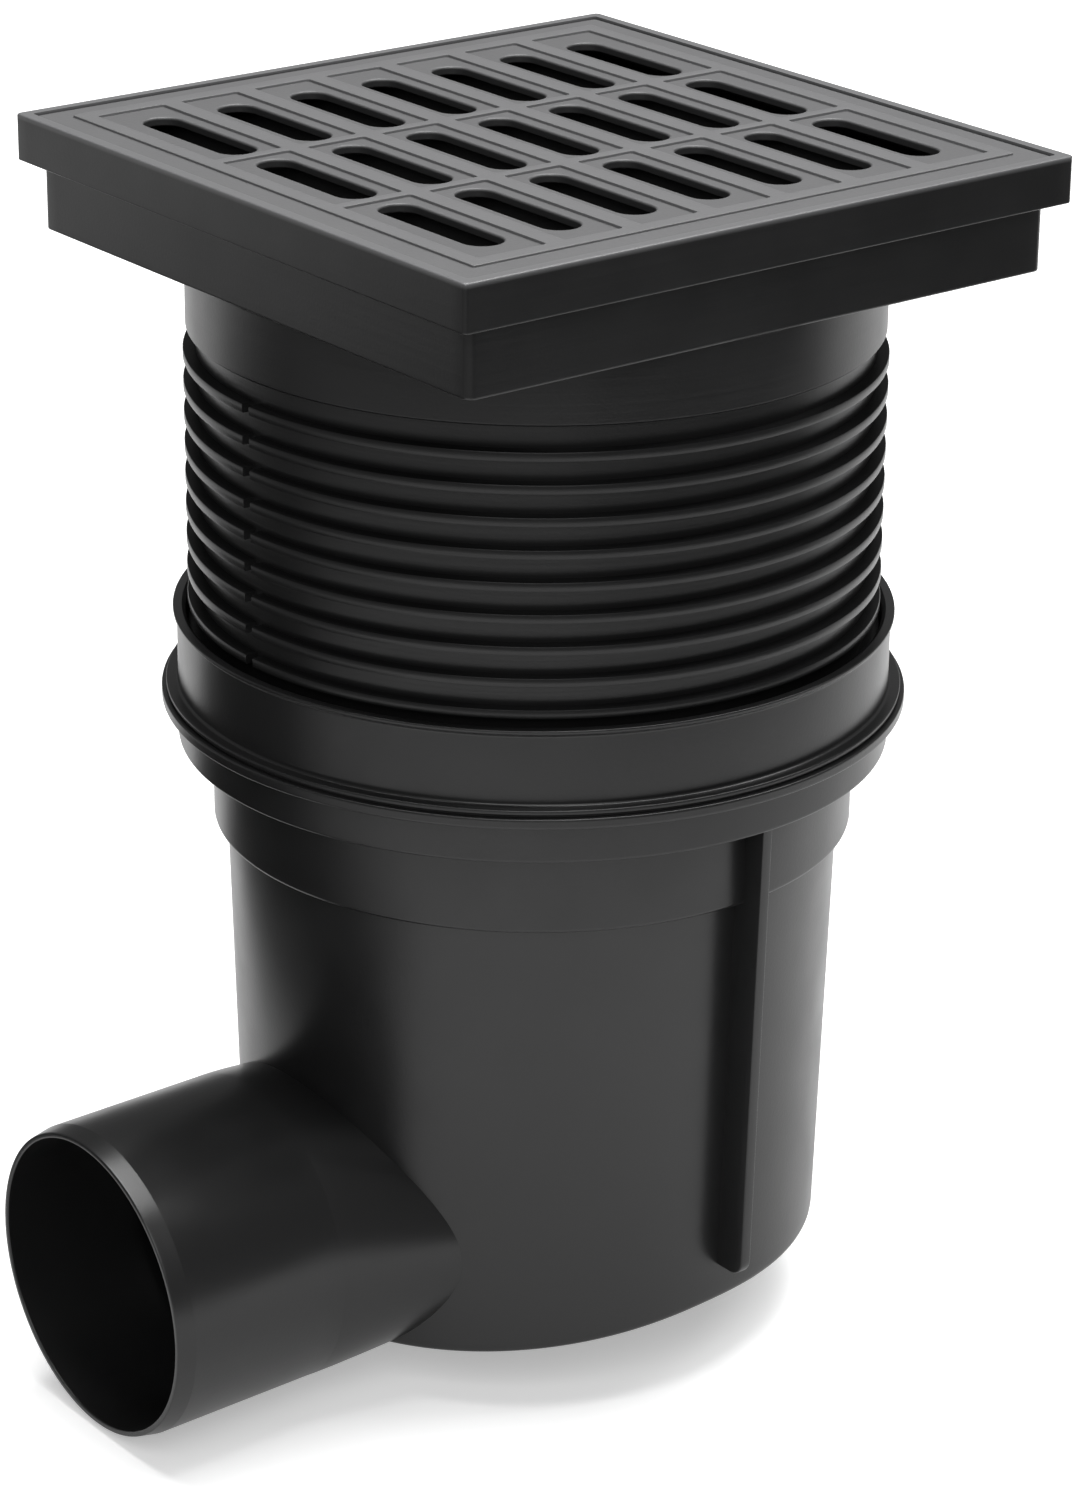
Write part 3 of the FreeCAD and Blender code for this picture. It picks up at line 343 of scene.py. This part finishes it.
def slab(outline, thick, round_off, place):
    """A flat piece: a convex outline swept through its thickness, with quarter-round edges.

    Rings run from the middle of one face out to the outline less the round, round the edge by
    equal angles, across, and back in. place maps (u, v, depth) to the object's axes."""
    outline = np.asarray(outline, float)
    ahead = np.roll(outline, -1, 0) - outline
    normal = np.stack([ahead[:, 1], -ahead[:, 0]], -1)
    normal /= np.linalg.norm(normal, axis=1)[:, None]
    joint = normal + np.roll(normal, 1, 0)
    mitre = joint / (joint * normal).sum(1)[:, None]
    angle = np.radians([0, 30, 60, 90])
    inset = round_off * np.concatenate([1 - np.sin(angle), 1 - np.sin(angle[::-1])])
    depth = thick / 2 - round_off * (1 - np.cos(angle))
    depth = np.concatenate([[-thick / 2], -depth, depth[::-1], [thick / 2]])
    rings = outline[None] - mitre[None] * inset[:, None, None]
    middle = np.broadcast_to(outline.mean(0), (1,) + outline.shape)
    rings = np.concatenate([middle, rings, middle])
    u, v, w = np.broadcast_arrays(rings[..., 0], rings[..., 1], depth[:, None])
    return np.stack(place(u, v, w), -1)


def piece(name, node, body, surfaces, material, sharp=40.0):
    """One mesh from surfaces: (points by rows and directions in mm, rows closed, faces kept)."""
    verts, faces, start = [], [], 0
    for points, closed, kept in surfaces:
        rows, around = points.shape[:2]
        i, j = np.meshgrid(np.arange(rows if closed else rows - 1), np.arange(around), indexing="ij")
        k, m = (i + 1) % rows, (j + 1) % around
        quads = np.stack([i * around + j, i * around + m, k * around + m, k * around + j], -1)
        quads = quads.reshape(-1, 4)
        if kept is not None:
            quads = quads[kept(points.reshape(-1, 3)[quads].mean(1))]
        verts.append(points.reshape(-1, 3) * MM)
        faces.append(quads + start)
        start += rows * around
    verts, faces = np.vstack(verts), np.vstack(faces)
    mesh = bpy.data.meshes.new(name)
    mesh.vertices.add(len(verts))
    mesh.vertices.foreach_set("co", verts.astype(np.float32).ravel())
    mesh.loops.add(faces.size)
    mesh.loops.foreach_set("vertex_index", faces.astype(np.int32).ravel())
    mesh.polygons.add(len(faces))
    mesh.polygons.foreach_set("loop_start", np.arange(0, faces.size, 4, dtype=np.int32))
    mesh.update(calc_edges=True)
    work = bmesh.new()
    work.from_mesh(mesh)
    bmesh.ops.remove_doubles(work, verts=work.verts, dist=2e-6)
    loose = [v for v in work.verts if not v.link_faces]
    bmesh.ops.delete(work, geom=loose, context="VERTS")
    bmesh.ops.recalc_face_normals(work, faces=work.faces)
    work.to_mesh(mesh)
    work.free()
    mesh.polygons.foreach_set("use_smooth", np.ones(len(mesh.polygons), bool))
    mesh.set_sharp_from_angle(angle=math.radians(sharp))
    mesh.materials.append(material)
    made = bpy.data.objects.new(name, mesh)
    scene.collection.objects.link(made)
    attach(made, body)
    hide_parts(node)
    return made


# Riser
SQUARE, CIRCLE = 0.0, 1.0
SIDE_TURN, CORNER_TURN, CORNER_STEPS = 44.3, 1.4, 6
NOTCH_SIDES = (-0.90, -0.84, 0.84, 0.90)
SQUARE_CORNER, NECK_CHAMFER = 1.6, 0.6


def riser_surface():
    """Frame, skirt, neck and ribbed tube as one closed surface.

    The profile runs from the frame's top down the outside and back up the bore. Each row is a
    rounded square or a circle of the profile's size at the profile's height. A quarter's
    directions turn evenly over its side, with two close together at each side of a notch, and
    then over the small corner. In a notch's directions the ribs' rows drop to the tube."""
    outside = profile([
        (RECESS_HALF, FRAME_TOP, 0.2, SQUARE, 1.2),
        (FRAME_HALF, FRAME_TOP, 0.6, SQUARE, SQUARE_CORNER),
        (FRAME_HALF, TOP_MM - FRAME_TALL, 0.4, SQUARE, SQUARE_CORNER),
        (SKIRT_HALF, TOP_MM - FRAME_TALL, 0.4, SQUARE, 3.0),
        (SKIRT_HALF, skirt_foot, 0.6, SQUARE, 3.0),
        (NECK_R, skirt_foot, 0.15, CIRCLE, 0),
        (NECK_R, neck_foot + NECK_CHAMFER, 0.3, CIRCLE, 0),
        (NECK_R - NECK_CHAMFER, neck_foot, 0.2, CIRCLE, 0),
        (CORE_R, neck_foot, 0, CIRCLE, 0),
        (CORE_R, neck_foot - 4, 0, CIRCLE, 0),
    ], closed=False)
    ribs = [(CORE_R, neck_foot - 5, 0, CIRCLE, 0)]
    for top in rib_tops:
        foot = top - RIB_THICK
        ribs += [(CORE_R, top, 0, CIRCLE, 0), (RIB_R, top, 0.5, CIRCLE, 0),
                 (RIB_R, foot, 0.5, CIRCLE, 0), (CORE_R, foot, 0, CIRCLE, 0)]
    ribs = profile(ribs + [(CORE_R, tube_foot + 1, 0, CIRCLE, 0)], steps=2, support=0, closed=False)
    inside = profile([
        (CORE_R, tube_foot + 0.9, 0, CIRCLE, 0),
        (CORE_R, tube_foot, 0.3, CIRCLE, 0),
        (BORE_R, tube_foot, 0.3, CIRCLE, 0),
        (BORE_R, skirt_foot + HOPPER_FLOOR, 1.0, CIRCLE, 0),
        (HOPPER_HALF, skirt_foot + HOPPER_FLOOR, 0.5, SQUARE, 2.0),
        (HOPPER_HALF, seat_z, 0.3, SQUARE, 2.0),
        (RECESS_HALF, seat_z, 0.3, SQUARE, 1.2),
        (RECESS_HALF, FRAME_TOP - 1.5, 0, SQUARE, 1.2),
    ], closed=False)
    rows = np.vstack([outside, ribs, inside])
    side = np.radians(np.unique(np.concatenate([np.linspace(-SIDE_TURN, SIDE_TURN, 69), NOTCH_SIDES])))
    bend = np.linspace(0, 1, CORNER_STEPS + 2)[1:-1]
    to_corner = math.tan(math.radians(SIDE_TURN))
    along = np.tile(np.concatenate([np.tan(side) / to_corner, np.ones(CORNER_STEPS)]), 4)
    turn = np.tile(np.concatenate([side * 0, bend * math.pi / 2]), 4)
    quarter = np.repeat(np.arange(4), len(side) + CORNER_STEPS)
    angle = np.concatenate([side, np.radians(SIDE_TURN + CORNER_TURN * bend)])
    angle = np.tile(angle, 4) + quarter * math.pi / 2
    squares = rectangle_ring(rows[:, 0], rows[:, 0], rows[:, 4], along, turn, quarter)
    radius = np.repeat(rows[:, :1], len(angle), 1)
    notch = np.abs(np.sin(angle)) * RIB_R < NOTCH / 2
    on_rib = (rows[:, 1] < neck_foot - 2)[:, None] & (radius > CORE_R)
    radius = np.where(on_rib & notch[None], CORE_R, radius)
    circles = radius[..., None] * np.stack([np.cos(angle), np.sin(angle)], -1)[None]
    return lift(np.where(rows[:, 3][:, None, None] == SQUARE, squares, circles), rows[:, 1])


piece("riser_moulding", "riser", "riser", [(riser_surface(), True, None)],
      FINISHES["riser"])


# Grate
SLOT_CHAMFER, SLOT_ROUND, POCKET_FILLET, POCKET_ROUND, SINK = 0.4, 0.7, 0.1, 0.15, 1.0


def span(index, count, pitch, bar):
    """Low and high side of a pocket, and of its share of the grate, in a row of them."""
    middle = (index - (count - 1) / 2) * pitch
    low, high = middle - pitch / 2 + bar / 2, middle + pitch / 2 - bar / 2
    share_low, share_high = low - bar / 2, high + bar / 2
    if index == 0:
        low, share_low = -POCKET_HALF, -CELLS_HALF
    if index == count - 1:
        high, share_high = POCKET_HALF, CELLS_HALF
    return middle, low, high, share_low, share_high


def grate_cell(i, j):
    """One slot in its pocket with its share of the plate.

    Each row is a rounded rectangle: the slot, the pocket or the share's outline, set out by
    the row's offset at the row's height. The rows run from the plate's underside up through
    the slot, over its rounded edge, across the pocket's floor, up its wall and out."""
    top, floor, under = PLATE_TOP, POCKET_LEVEL, POCKET_LEVEL - PLATE
    share, slot, pocket = 2, 0, 1
    turns = [(math.sin(a), math.cos(a)) for a in np.radians(np.linspace(0, 90, 4))]
    rows = [(share, 0, under), (slot, SLOT_CHAMFER, under), (slot, 0, under + SLOT_CHAMFER)]
    rows += [(slot, 0, floor - SLOT_ROUND - 0.2)]
    rows += [(slot, SLOT_ROUND * (1 - c), floor - SLOT_ROUND * (1 - s)) for s, c in turns]
    rows += [(slot, SLOT_ROUND + 0.4, floor), (pocket, -1.0, floor)]
    rows += [(pocket, POCKET_FILLET * (s - 1), floor + POCKET_FILLET * (1 - c)) for s, c in turns]
    rows += [(pocket, 0.17 - POCKET_ROUND * c, top - POCKET_ROUND * (1 - s)) for s, c in turns]
    rows += [(pocket, 0.8, top), (share, 0, top)]
    kind, offset, height = np.array(rows).T
    kind = kind.astype(int)
    x, x_low, x_high, x_from, x_to = span(i, COLUMNS, SLOT_PITCH, COLUMN_BAR)
    y, y_low, y_high, y_from, y_to = span(j, ROWS, ROW_PITCH, ROW_BAR)
    middle = np.array([(x, y), ((x_low + x_high) / 2, (y_low + y_high) / 2),
                       ((x_from + x_to) / 2, (y_from + y_to) / 2)])[kind]
    half = np.array([(SLOT_WIDE / 2, SLOT_LONG / 2), ((x_high - x_low) / 2, (y_high - y_low) / 2),
                     ((x_to - x_from) / 2, (y_to - y_from) / 2)])[kind] + offset[:, None]
    corner = np.array([SLOT_WIDE / 2, 1.2, 0])[kind] + np.where(kind < 2, offset, 0)
    rings = rectangle_ring(half[:, 0], half[:, 1], corner, *directions(11, 6))
    return lift(rings + middle[:, None], height)


def grate_edge():
    """Rim round the pockets and the lower border, down the edge and back to the plate."""
    rows = profile([
        (CELLS_HALF, PLATE_TOP, 0, 0),
        (FIELD_HALF, PLATE_TOP, 0.25, 1.0),
        (FIELD_HALF, BORDER_LEVEL, 0.15, 1.0),
        (GRATE_HALF, BORDER_LEVEL, 0.4, 1.5),
        (GRATE_HALF, seat_z, 0.5, 1.5),
        (FIELD_HALF, seat_z, 0.5, 1.0),
        (FIELD_HALF, POCKET_LEVEL - PLATE, 0.3, 1.0),
        (CELLS_HALF, POCKET_LEVEL - PLATE, 0, 0),
    ], closed=False)
    return lift(rectangle_ring(rows[:, 0], rows[:, 0], rows[:, 3], *directions(21, 4)), rows[:, 1])


def under_rib(i):
    """Rib under the bar between two columns, from edge to edge, sunk a little into both."""
    x, half = (i - (COLUMNS - 2) / 2) * SLOT_PITCH, UNDER_RIB / 2
    top = POCKET_LEVEL - PLATE + SINK
    foot = top - UNDER_DEEP - SINK
    outline = [(x - half, foot), (x + half, foot), (x + half, top), (x - half, top)]
    return slab(outline, (FIELD_HALF + SINK) * 2, 0.4, lambda u, v, w: (u, w, v))


piece("grate_moulding", "grate", "riser",
      [(grate_cell(i, j), False, None) for i in range(COLUMNS) for j in range(ROWS)]
      + [(grate_edge(), False, None)]
      + [(under_rib(i), False, None) for i in range(COLUMNS - 1)],
      FINISHES["grate"])

# Collar
ROUND = np.radians(np.arange(0, 360, 1.2))
collar_rows = profile([
    (SOCKET_R, collar_foot, 0.2),
    (FLANGE_R, collar_foot, 0.2),
    (FLANGE_R, collar_foot + COLLAR_FLANGE, 0.4),
    (COLLAR_R, collar_foot + COLLAR_FLANGE, 0.8),
    (COLLAR_R, collar_top - LIP_TALL, 0.4),
    (LIP_R, collar_top - 1.1, 0.4),
    (LIP_R, collar_top, 0.35),
    (SOCKET_R + 1.3, collar_top, 0.3),
    (SOCKET_R, collar_top - 1.3, 0.3),
])
piece("collar_ring", "collar", "sump", [(revolve(collar_rows, ROUND), True, None)],
      FINISHES["collar"])


# Sump
FLOOR_STEP, WALL_STEP, CLOSE_ROWS_TO, LEVEL_FROM = 2.8, 2.6, 124.0, 110.0


def pot_surface():
    """Rings, tapered pot and sloping floor, outside and inside, from pole to pole.

    The pot's radius shrinks by the taper below the lower ring. A row follows the floor's fall
    by its third value, which is 1 at the floor and fades to 0 up the wall, so the bottom edge
    is level on the right and slants down to the outlet, with a round. Rows lie close together
    where the outlet opens the wall and the floor."""
    outer = profile([
        (POT_R, band_foot, 0.6), (BAND_R, band_foot, 1.0), (BAND_R, ring_foot, 0.8),
        (RING_R, ring_foot, 0.6), (RING_R, flange_top - FLANGE_THICK, 0.8),
        (SUMP_FLANGE_R, flange_top - FLANGE_THICK, 0.5), (SUMP_FLANGE_R, flange_top, 0.5),
        (SOCKET_R, flange_top, 0.4), (SOCKET_R, tube_foot, 0.5), (BAND_IN, tube_foot, 0.5),
        (BAND_IN, pot_ledge, 0.5), (POT_R - POT_WALL, pot_ledge, 0.5),
        (POT_R - POT_WALL, pot_ledge - 5, 0),
    ], closed=False)
    outer[:, 2] = 0
    walls = []
    for inset, base, bend in ((0, FLOOR_Z, 2.4), (POT_WALL, FLOOR_Z + FLOOR_THICK, 2.0)):
        turn = np.radians(np.linspace(0, 90, 6))
        reach = POT_R - inset - (band_foot - base) * TAPER
        flat = np.concatenate([[0, 30], np.arange(54, reach - bend, FLOOR_STEP)])
        floor = np.column_stack([flat, flat * 0 + base])
        arc = np.column_stack([reach - bend + bend * np.sin(turn), base + bend - bend * np.cos(turn)])
        up = np.arange(base + bend + 0.7, CLOSE_ROWS_TO, WALL_STEP)
        up = np.concatenate([up, [150, band_foot - 4]])
        wall = np.column_stack([POT_R - inset - (band_foot - up) * TAPER, up])
        rows = np.vstack([floor, arc, wall])
        fade = np.clip((LEVEL_FROM - rows[:, 1]) / (LEVEL_FROM - base - bend), 0, 1)
        walls.append(np.column_stack([rows, fade]))
    rows = np.vstack([walls[0], outer, walls[1][::-1]])
    surface = revolve(rows[:, :2], np.radians(np.arange(0, 360, 1.25)), rows[:, 2])
    # on the tapered wall a row that is tilted up or down also follows the taper
    wall = (rows[:, 2] > 0)[:, None] * (surface[..., 2] - rows[:, 1:2]) * TAPER
    radius = np.hypot(surface[..., 0], surface[..., 1])
    grown = np.where(radius > 90, 1 + wall / np.maximum(radius, 1), 1)
    surface[..., :2] *= grown[..., None]
    return surface


def pipe_radius(distance, turn, inset):
    """Radius of the outlet at a distance along its axis and a turn round it (0 is up).

    Beyond the throat it is the pipe's. In the throat it is that of an ellipse that runs from
    wide and low, inside the pot, to the pipe's round: its half width evenly, and its half
    height by what is left of the way to the power of the ease, so that it meets the pipe
    gently."""
    share = np.clip((distance - THROAT_START) / (THROAT_END - THROAT_START), 0, 1)
    wide = THROAT_WIDE + (PIPE_R - THROAT_WIDE) * share - inset
    tall = PIPE_R - (PIPE_R - THROAT_TALL) * (1 - share) ** THROAT_EASE - inset
    return wide * tall / np.hypot(tall * np.sin(turn), wide * np.cos(turn))


def pipe_surface():
    """Outlet pipe, closed round its end and inside: rows along its axis, rings about it.

    A point is the axis point plus the radius times (up cos turn + side sin turn)."""
    turn = np.radians(np.arange(0, 360, 2.25))
    lead = profile([
        (PIPE_R, 150, 0), (PIPE_R, PIPE_END - PIPE_LEAD, 0.5), (PIPE_R - LEAD_DEEP, PIPE_END, 0.4),
        (PIPE_R - PIPE_WALL, PIPE_END, 0.5), (PIPE_R - PIPE_WALL, 150, 0),
    ], closed=False)[:, :2]
    walls = []
    for inset in (0, PIPE_WALL):
        start = THROAT_START + inset
        share = np.linspace(0, 1, 22)[:-1]
        end_wall = np.column_stack([share, share * 0 + start])
        tube = np.concatenate([np.arange(start, THROAT_END, 2.7), [THROAT_END, THROAT_END + 8, 140]])
        walls.append(np.vstack([end_wall, np.column_stack([tube * 0 + 1, tube])]))
    rows = np.vstack([walls[0], lead, walls[1][::-1]])
    inset = np.repeat([0, 0, PIPE_WALL], [len(walls[0]), len(lead), len(walls[1])])[:, None]
    distance = rows[:, 1:2]
    fitted = pipe_radius(distance, turn[None], inset)
    radius = np.where(rows[:, :1] > 1, rows[:, :1], rows[:, :1] * fitted)
    out = np.array([-math.cos(PIPE_FALL), 0, -math.sin(PIPE_FALL)])
    up = np.array([-math.sin(PIPE_FALL), 0, math.cos(PIPE_FALL)])
    side = np.array([0, -1.0, 0])
    ring = up * np.cos(turn)[:, None] + side * np.sin(turn)[:, None]
    return distance[..., None] * out + radius[..., None] * ring[None] + np.array([0, 0, PIPE_Z])


def outside_pipe(middle):
    """Faces of the pot that don't lie within the pipe's bore, its wall's middle being the limit."""
    x, y, z = middle.T
    distance = -x * math.cos(PIPE_FALL) - (z - PIPE_Z) * math.sin(PIPE_FALL)
    above = (z - PIPE_Z) * math.cos(PIPE_FALL) - x * math.sin(PIPE_FALL)
    limit = pipe_radius(distance, np.arctan2(-y, above), PIPE_WALL / 2)
    return (distance < THROAT_START + PIPE_WALL / 2) | (np.hypot(y, above) > limit)


def outside_pot(middle):
    """Faces of the pipe that don't lie within the pot's room, the walls' middles the limit."""
    x, y, z = middle.T
    wall = POT_R - POT_WALL / 2 - (band_foot - z) * TAPER
    return (np.hypot(x, y) > wall) | (z < FLOOR_Z + FLOOR_THICK / 2 + fall(x))


def fin(side):
    """Fin on one side of the pot, a slab with a quarter-round foot, rooted in the wall."""
    root, top = POT_R - ring_foot * TAPER - POT_WALL / 2, ring_foot + 1.5
    turn = np.radians(np.linspace(0, 90, 7))
    arc = np.column_stack([FIN_END - FIN_ROUND * (1 - np.sin(turn)),
                           FIN_FOOT + FIN_ROUND * (1 - np.cos(turn))])
    outline = np.vstack([[(root, FIN_FOOT)], arc, [(FIN_TOP, top), (root, top)]])
    return slab(outline, FIN_THICK, 0.5, lambda u, v, w: (FIN_X + w, side * u, v))


def foot_ring():
    """Ring that the gully stands on, its top in the floor's thickness."""
    top = FLOOR_Z + FLOOR_THICK / 2
    rows = profile([(FOOT_R - FOOT_WALL, 0, 0.4, 0), (FOOT_R, 0, 0.4, 0),
                    (FOOT_R, top, 0, 1), (FOOT_R - FOOT_WALL, top, 0, 1)])
    return revolve(rows[:, :2], np.radians(np.arange(0, 360, 3)), rows[:, 3])


def foot_webs():
    """Two crossed webs in the foot ring, the first under the floor's fall."""
    half, top = FOOT_R - FOOT_WALL / 2, FLOOR_Z + FLOOR_THICK / 2
    fallen = [(x, top + fall(x)) for x in (half, 0, -half)]
    along = slab([(-half, 0), (half, 0)] + fallen, FOOT_WALL, 0.4, lambda u, v, w: (u, -w, v))
    level = [(-half, 0), (half, 0), (half, top), (-half, top)]
    return [along, slab(level, FOOT_WALL, 0.4, lambda u, v, w: (w, u, v))]


piece("sump_moulding", "sump", "sump",
      [(pot_surface(), False, outside_pipe), (pipe_surface(), False, outside_pot)]
      + [(fin(side), False, None) for side in (-1, 1)]
      + [(foot_ring(), True, None)]
      + [(web, False, None) for web in foot_webs()],
      FINISHES["sump"])

# Ground and light
towards = Vector((back.x, back.y, 0)).normalized()
sideways = Vector((right0.x, right0.y, 0))

# Paper: shade as seen, and as it mirrors in the plastic, with the light added to each
PAPER, PAPER_LIFT, MIRRORED, MIRRORED_LIFT = 0.85, 0.38, 0.66, 0.4
WHITER_OUT = (0.9, 2.2)
# Mirrored paper, painted dimmer in the plastic's reflections: metres from the object at which it is dim or
# dims, and by how much
NEAR_OUT, NEAR_START = (0.1, 0.55), 0.86
FAR_OUT, FAR_LOSS, FAR_FRONT = (0.64, 1.0), 0.72, (-0.6, 0.0)
RIGHT_OUT, RIGHT_LOSS = (0.1, 0.7), 0.22
# Painted dark patch, seen only in the plastic's reflections: place of its middle, lean and shear of its
# sides, soft edge, half sizes, shade
DARK_PATCH_OUT, DARK_PATCH_IN, DARK_PATCH_LEAN, DARK_PATCH_SHEAR, DARK_PATCH_SOFT = 0.74, -0.12, 0.12, 0.3, 0.03
DARK_PATCH_HALF_LONG, DARK_PATCH_HALF_WIDE, DARK_PATCH_SHADE = 0.43, 0.34, 0.02
GROUND_HALF, SKY = 6.0, 0.2


def ground_material():
    """White paper. The camera sees it white, with the object's shadow. What mirrors in the plastic is
    painted: the paper dimmer close by, a painted shadow, and far out in front and on the right, with
    a painted dark patch on the left that the camera doesn't see."""
    material, nodes, links, principled = new_material("ground_white")
    nodes.remove(principled)
    wiring = Wiring(material.node_tree, add(nodes, "ShaderNodeTexCoord").outputs["Object"])
    maths = wiring.maths
    out = wiring.distance()
    loss = maths("ADD", wiring.ramp(wiring.along(sideways), *RIGHT_OUT, end=RIGHT_LOSS), FAR_LOSS)
    loss = maths("MULTIPLY", wiring.ramp(wiring.along(towards), *FAR_FRONT), loss)
    loss = maths("MULTIPLY", wiring.ramp(out, *FAR_OUT), loss)
    across = maths("ABSOLUTE", maths("ADD", wiring.along(towards - sideways * DARK_PATCH_SHEAR), DARK_PATCH_IN))
    outward = maths("ABSOLUTE", maths("ADD", wiring.along(sideways - towards * DARK_PATCH_LEAN), DARK_PATCH_OUT))
    edge = maths("MAXIMUM", maths("SUBTRACT", across, DARK_PATCH_HALF_WIDE),
                 maths("SUBTRACT", outward, DARK_PATCH_HALF_LONG))
    # painted dark reflection on the left, seen only in the plastic
    dark_patch = wiring.ramp(edge, -DARK_PATCH_SOFT, DARK_PATCH_SOFT, start=DARK_PATCH_SHADE)
    level = maths("MULTIPLY", maths("SUBTRACT", 1.0, loss), dark_patch)
    # painted shadow: what mirrors close to the object is dimmer
    level = maths("MULTIPLY", level, wiring.ramp(out, *NEAR_OUT, start=NEAR_START))
    seen = wiring.seen()
    shade = wiring.mix(maths("MAXIMUM", maths("MULTIPLY", level, MIRRORED), seen),
                       (0, 0, 0, 1), (PAPER, PAPER, PAPER, 1))
    paper = add(nodes, "ShaderNodeBsdfDiffuse")
    links.new(shade, paper.inputs["Color"])
    seen_lift = maths("MULTIPLY", seen, wiring.ramp(out, *WHITER_OUT, start=PAPER_LIFT))
    mirrored_lift = maths("MULTIPLY", maths("SUBTRACT", 1.0, seen), maths("MULTIPLY", level, MIRRORED_LIFT))
    glow = add(nodes, "ShaderNodeEmission")
    links.new(maths("ADD", seen_lift, mirrored_lift), glow.inputs["Strength"])
    both = add(nodes, "ShaderNodeAddShader")
    links.new(paper.outputs[0], both.inputs[0])
    links.new(glow.outputs[0], both.inputs[1])
    links.new(both.outputs[0], nodes["Material Output"].inputs["Surface"])
    return material


floor_mesh = bpy.data.meshes.new("ground")
corners = [(x * GROUND_HALF, y * GROUND_HALF, 0) for x, y in ((-1, -1), (1, -1), (1, 1), (-1, 1))]
floor_mesh.from_pydata(corners, [], [(0, 1, 2, 3)])
ground = bpy.data.objects.new("ground", floor_mesh)
scene.collection.objects.link(ground)
floor_mesh.materials.append(ground_material())

world = bpy.data.worlds.new("studio")
scene.world = world
world.use_nodes = True
nodes, links = world.node_tree.nodes, world.node_tree.links
nodes.clear()
output = nodes.new("ShaderNodeOutputWorld")
surround, seen_white = (add(nodes, "ShaderNodeBackground", Strength=level) for level in (SKY, 1.0))
for background in (surround, seen_white):
    background.inputs["Color"].default_value = (1, 1, 1, 1)
choice = add(nodes, "ShaderNodeMixShader")
links.new(Wiring(world.node_tree).seen(), choice.inputs[0])
links.new(surround.outputs[0], choice.inputs[1])
links.new(seen_white.outputs[0], choice.inputs[2])
links.new(choice.outputs[0], output.inputs[0])


def softbox(name, place, aim, wide, tall, radiance):
    """Rectangular soft lamp at a place, turned to the point it lights.

    Its power is pi times its area times the radiance that mirrors in the plastic."""
    lamp_data = bpy.data.lights.new(name, "AREA")
    lamp_data.shape = "RECTANGLE"
    lamp_data.size, lamp_data.size_y = wide, tall
    lamp_data.energy = math.pi * wide * tall * radiance
    lamp = bpy.data.objects.new(name, lamp_data)
    lamp.location = place
    lamp.rotation_mode = "QUATERNION"
    lamp.rotation_quaternion = (Vector(aim) - Vector(place)).to_track_quat("-Z", "Y")
    scene.collection.objects.link(lamp)


softbox("overhead", Vector((0.25, 0, 2.5)) - towards * 0.1, (0, 0, 0.3), 1.9, 1.9, 9.0)
softbox("high_right", Vector((1.5, -0.75, 2.0)), (0, 0, 0.2), 0.8, 0.8, 6.0)
softbox("front_fill", towards * 1.9 + Vector((0, 0, 1.6)), (0, 0, 0.1), 1.6, 1.2, 3.5)
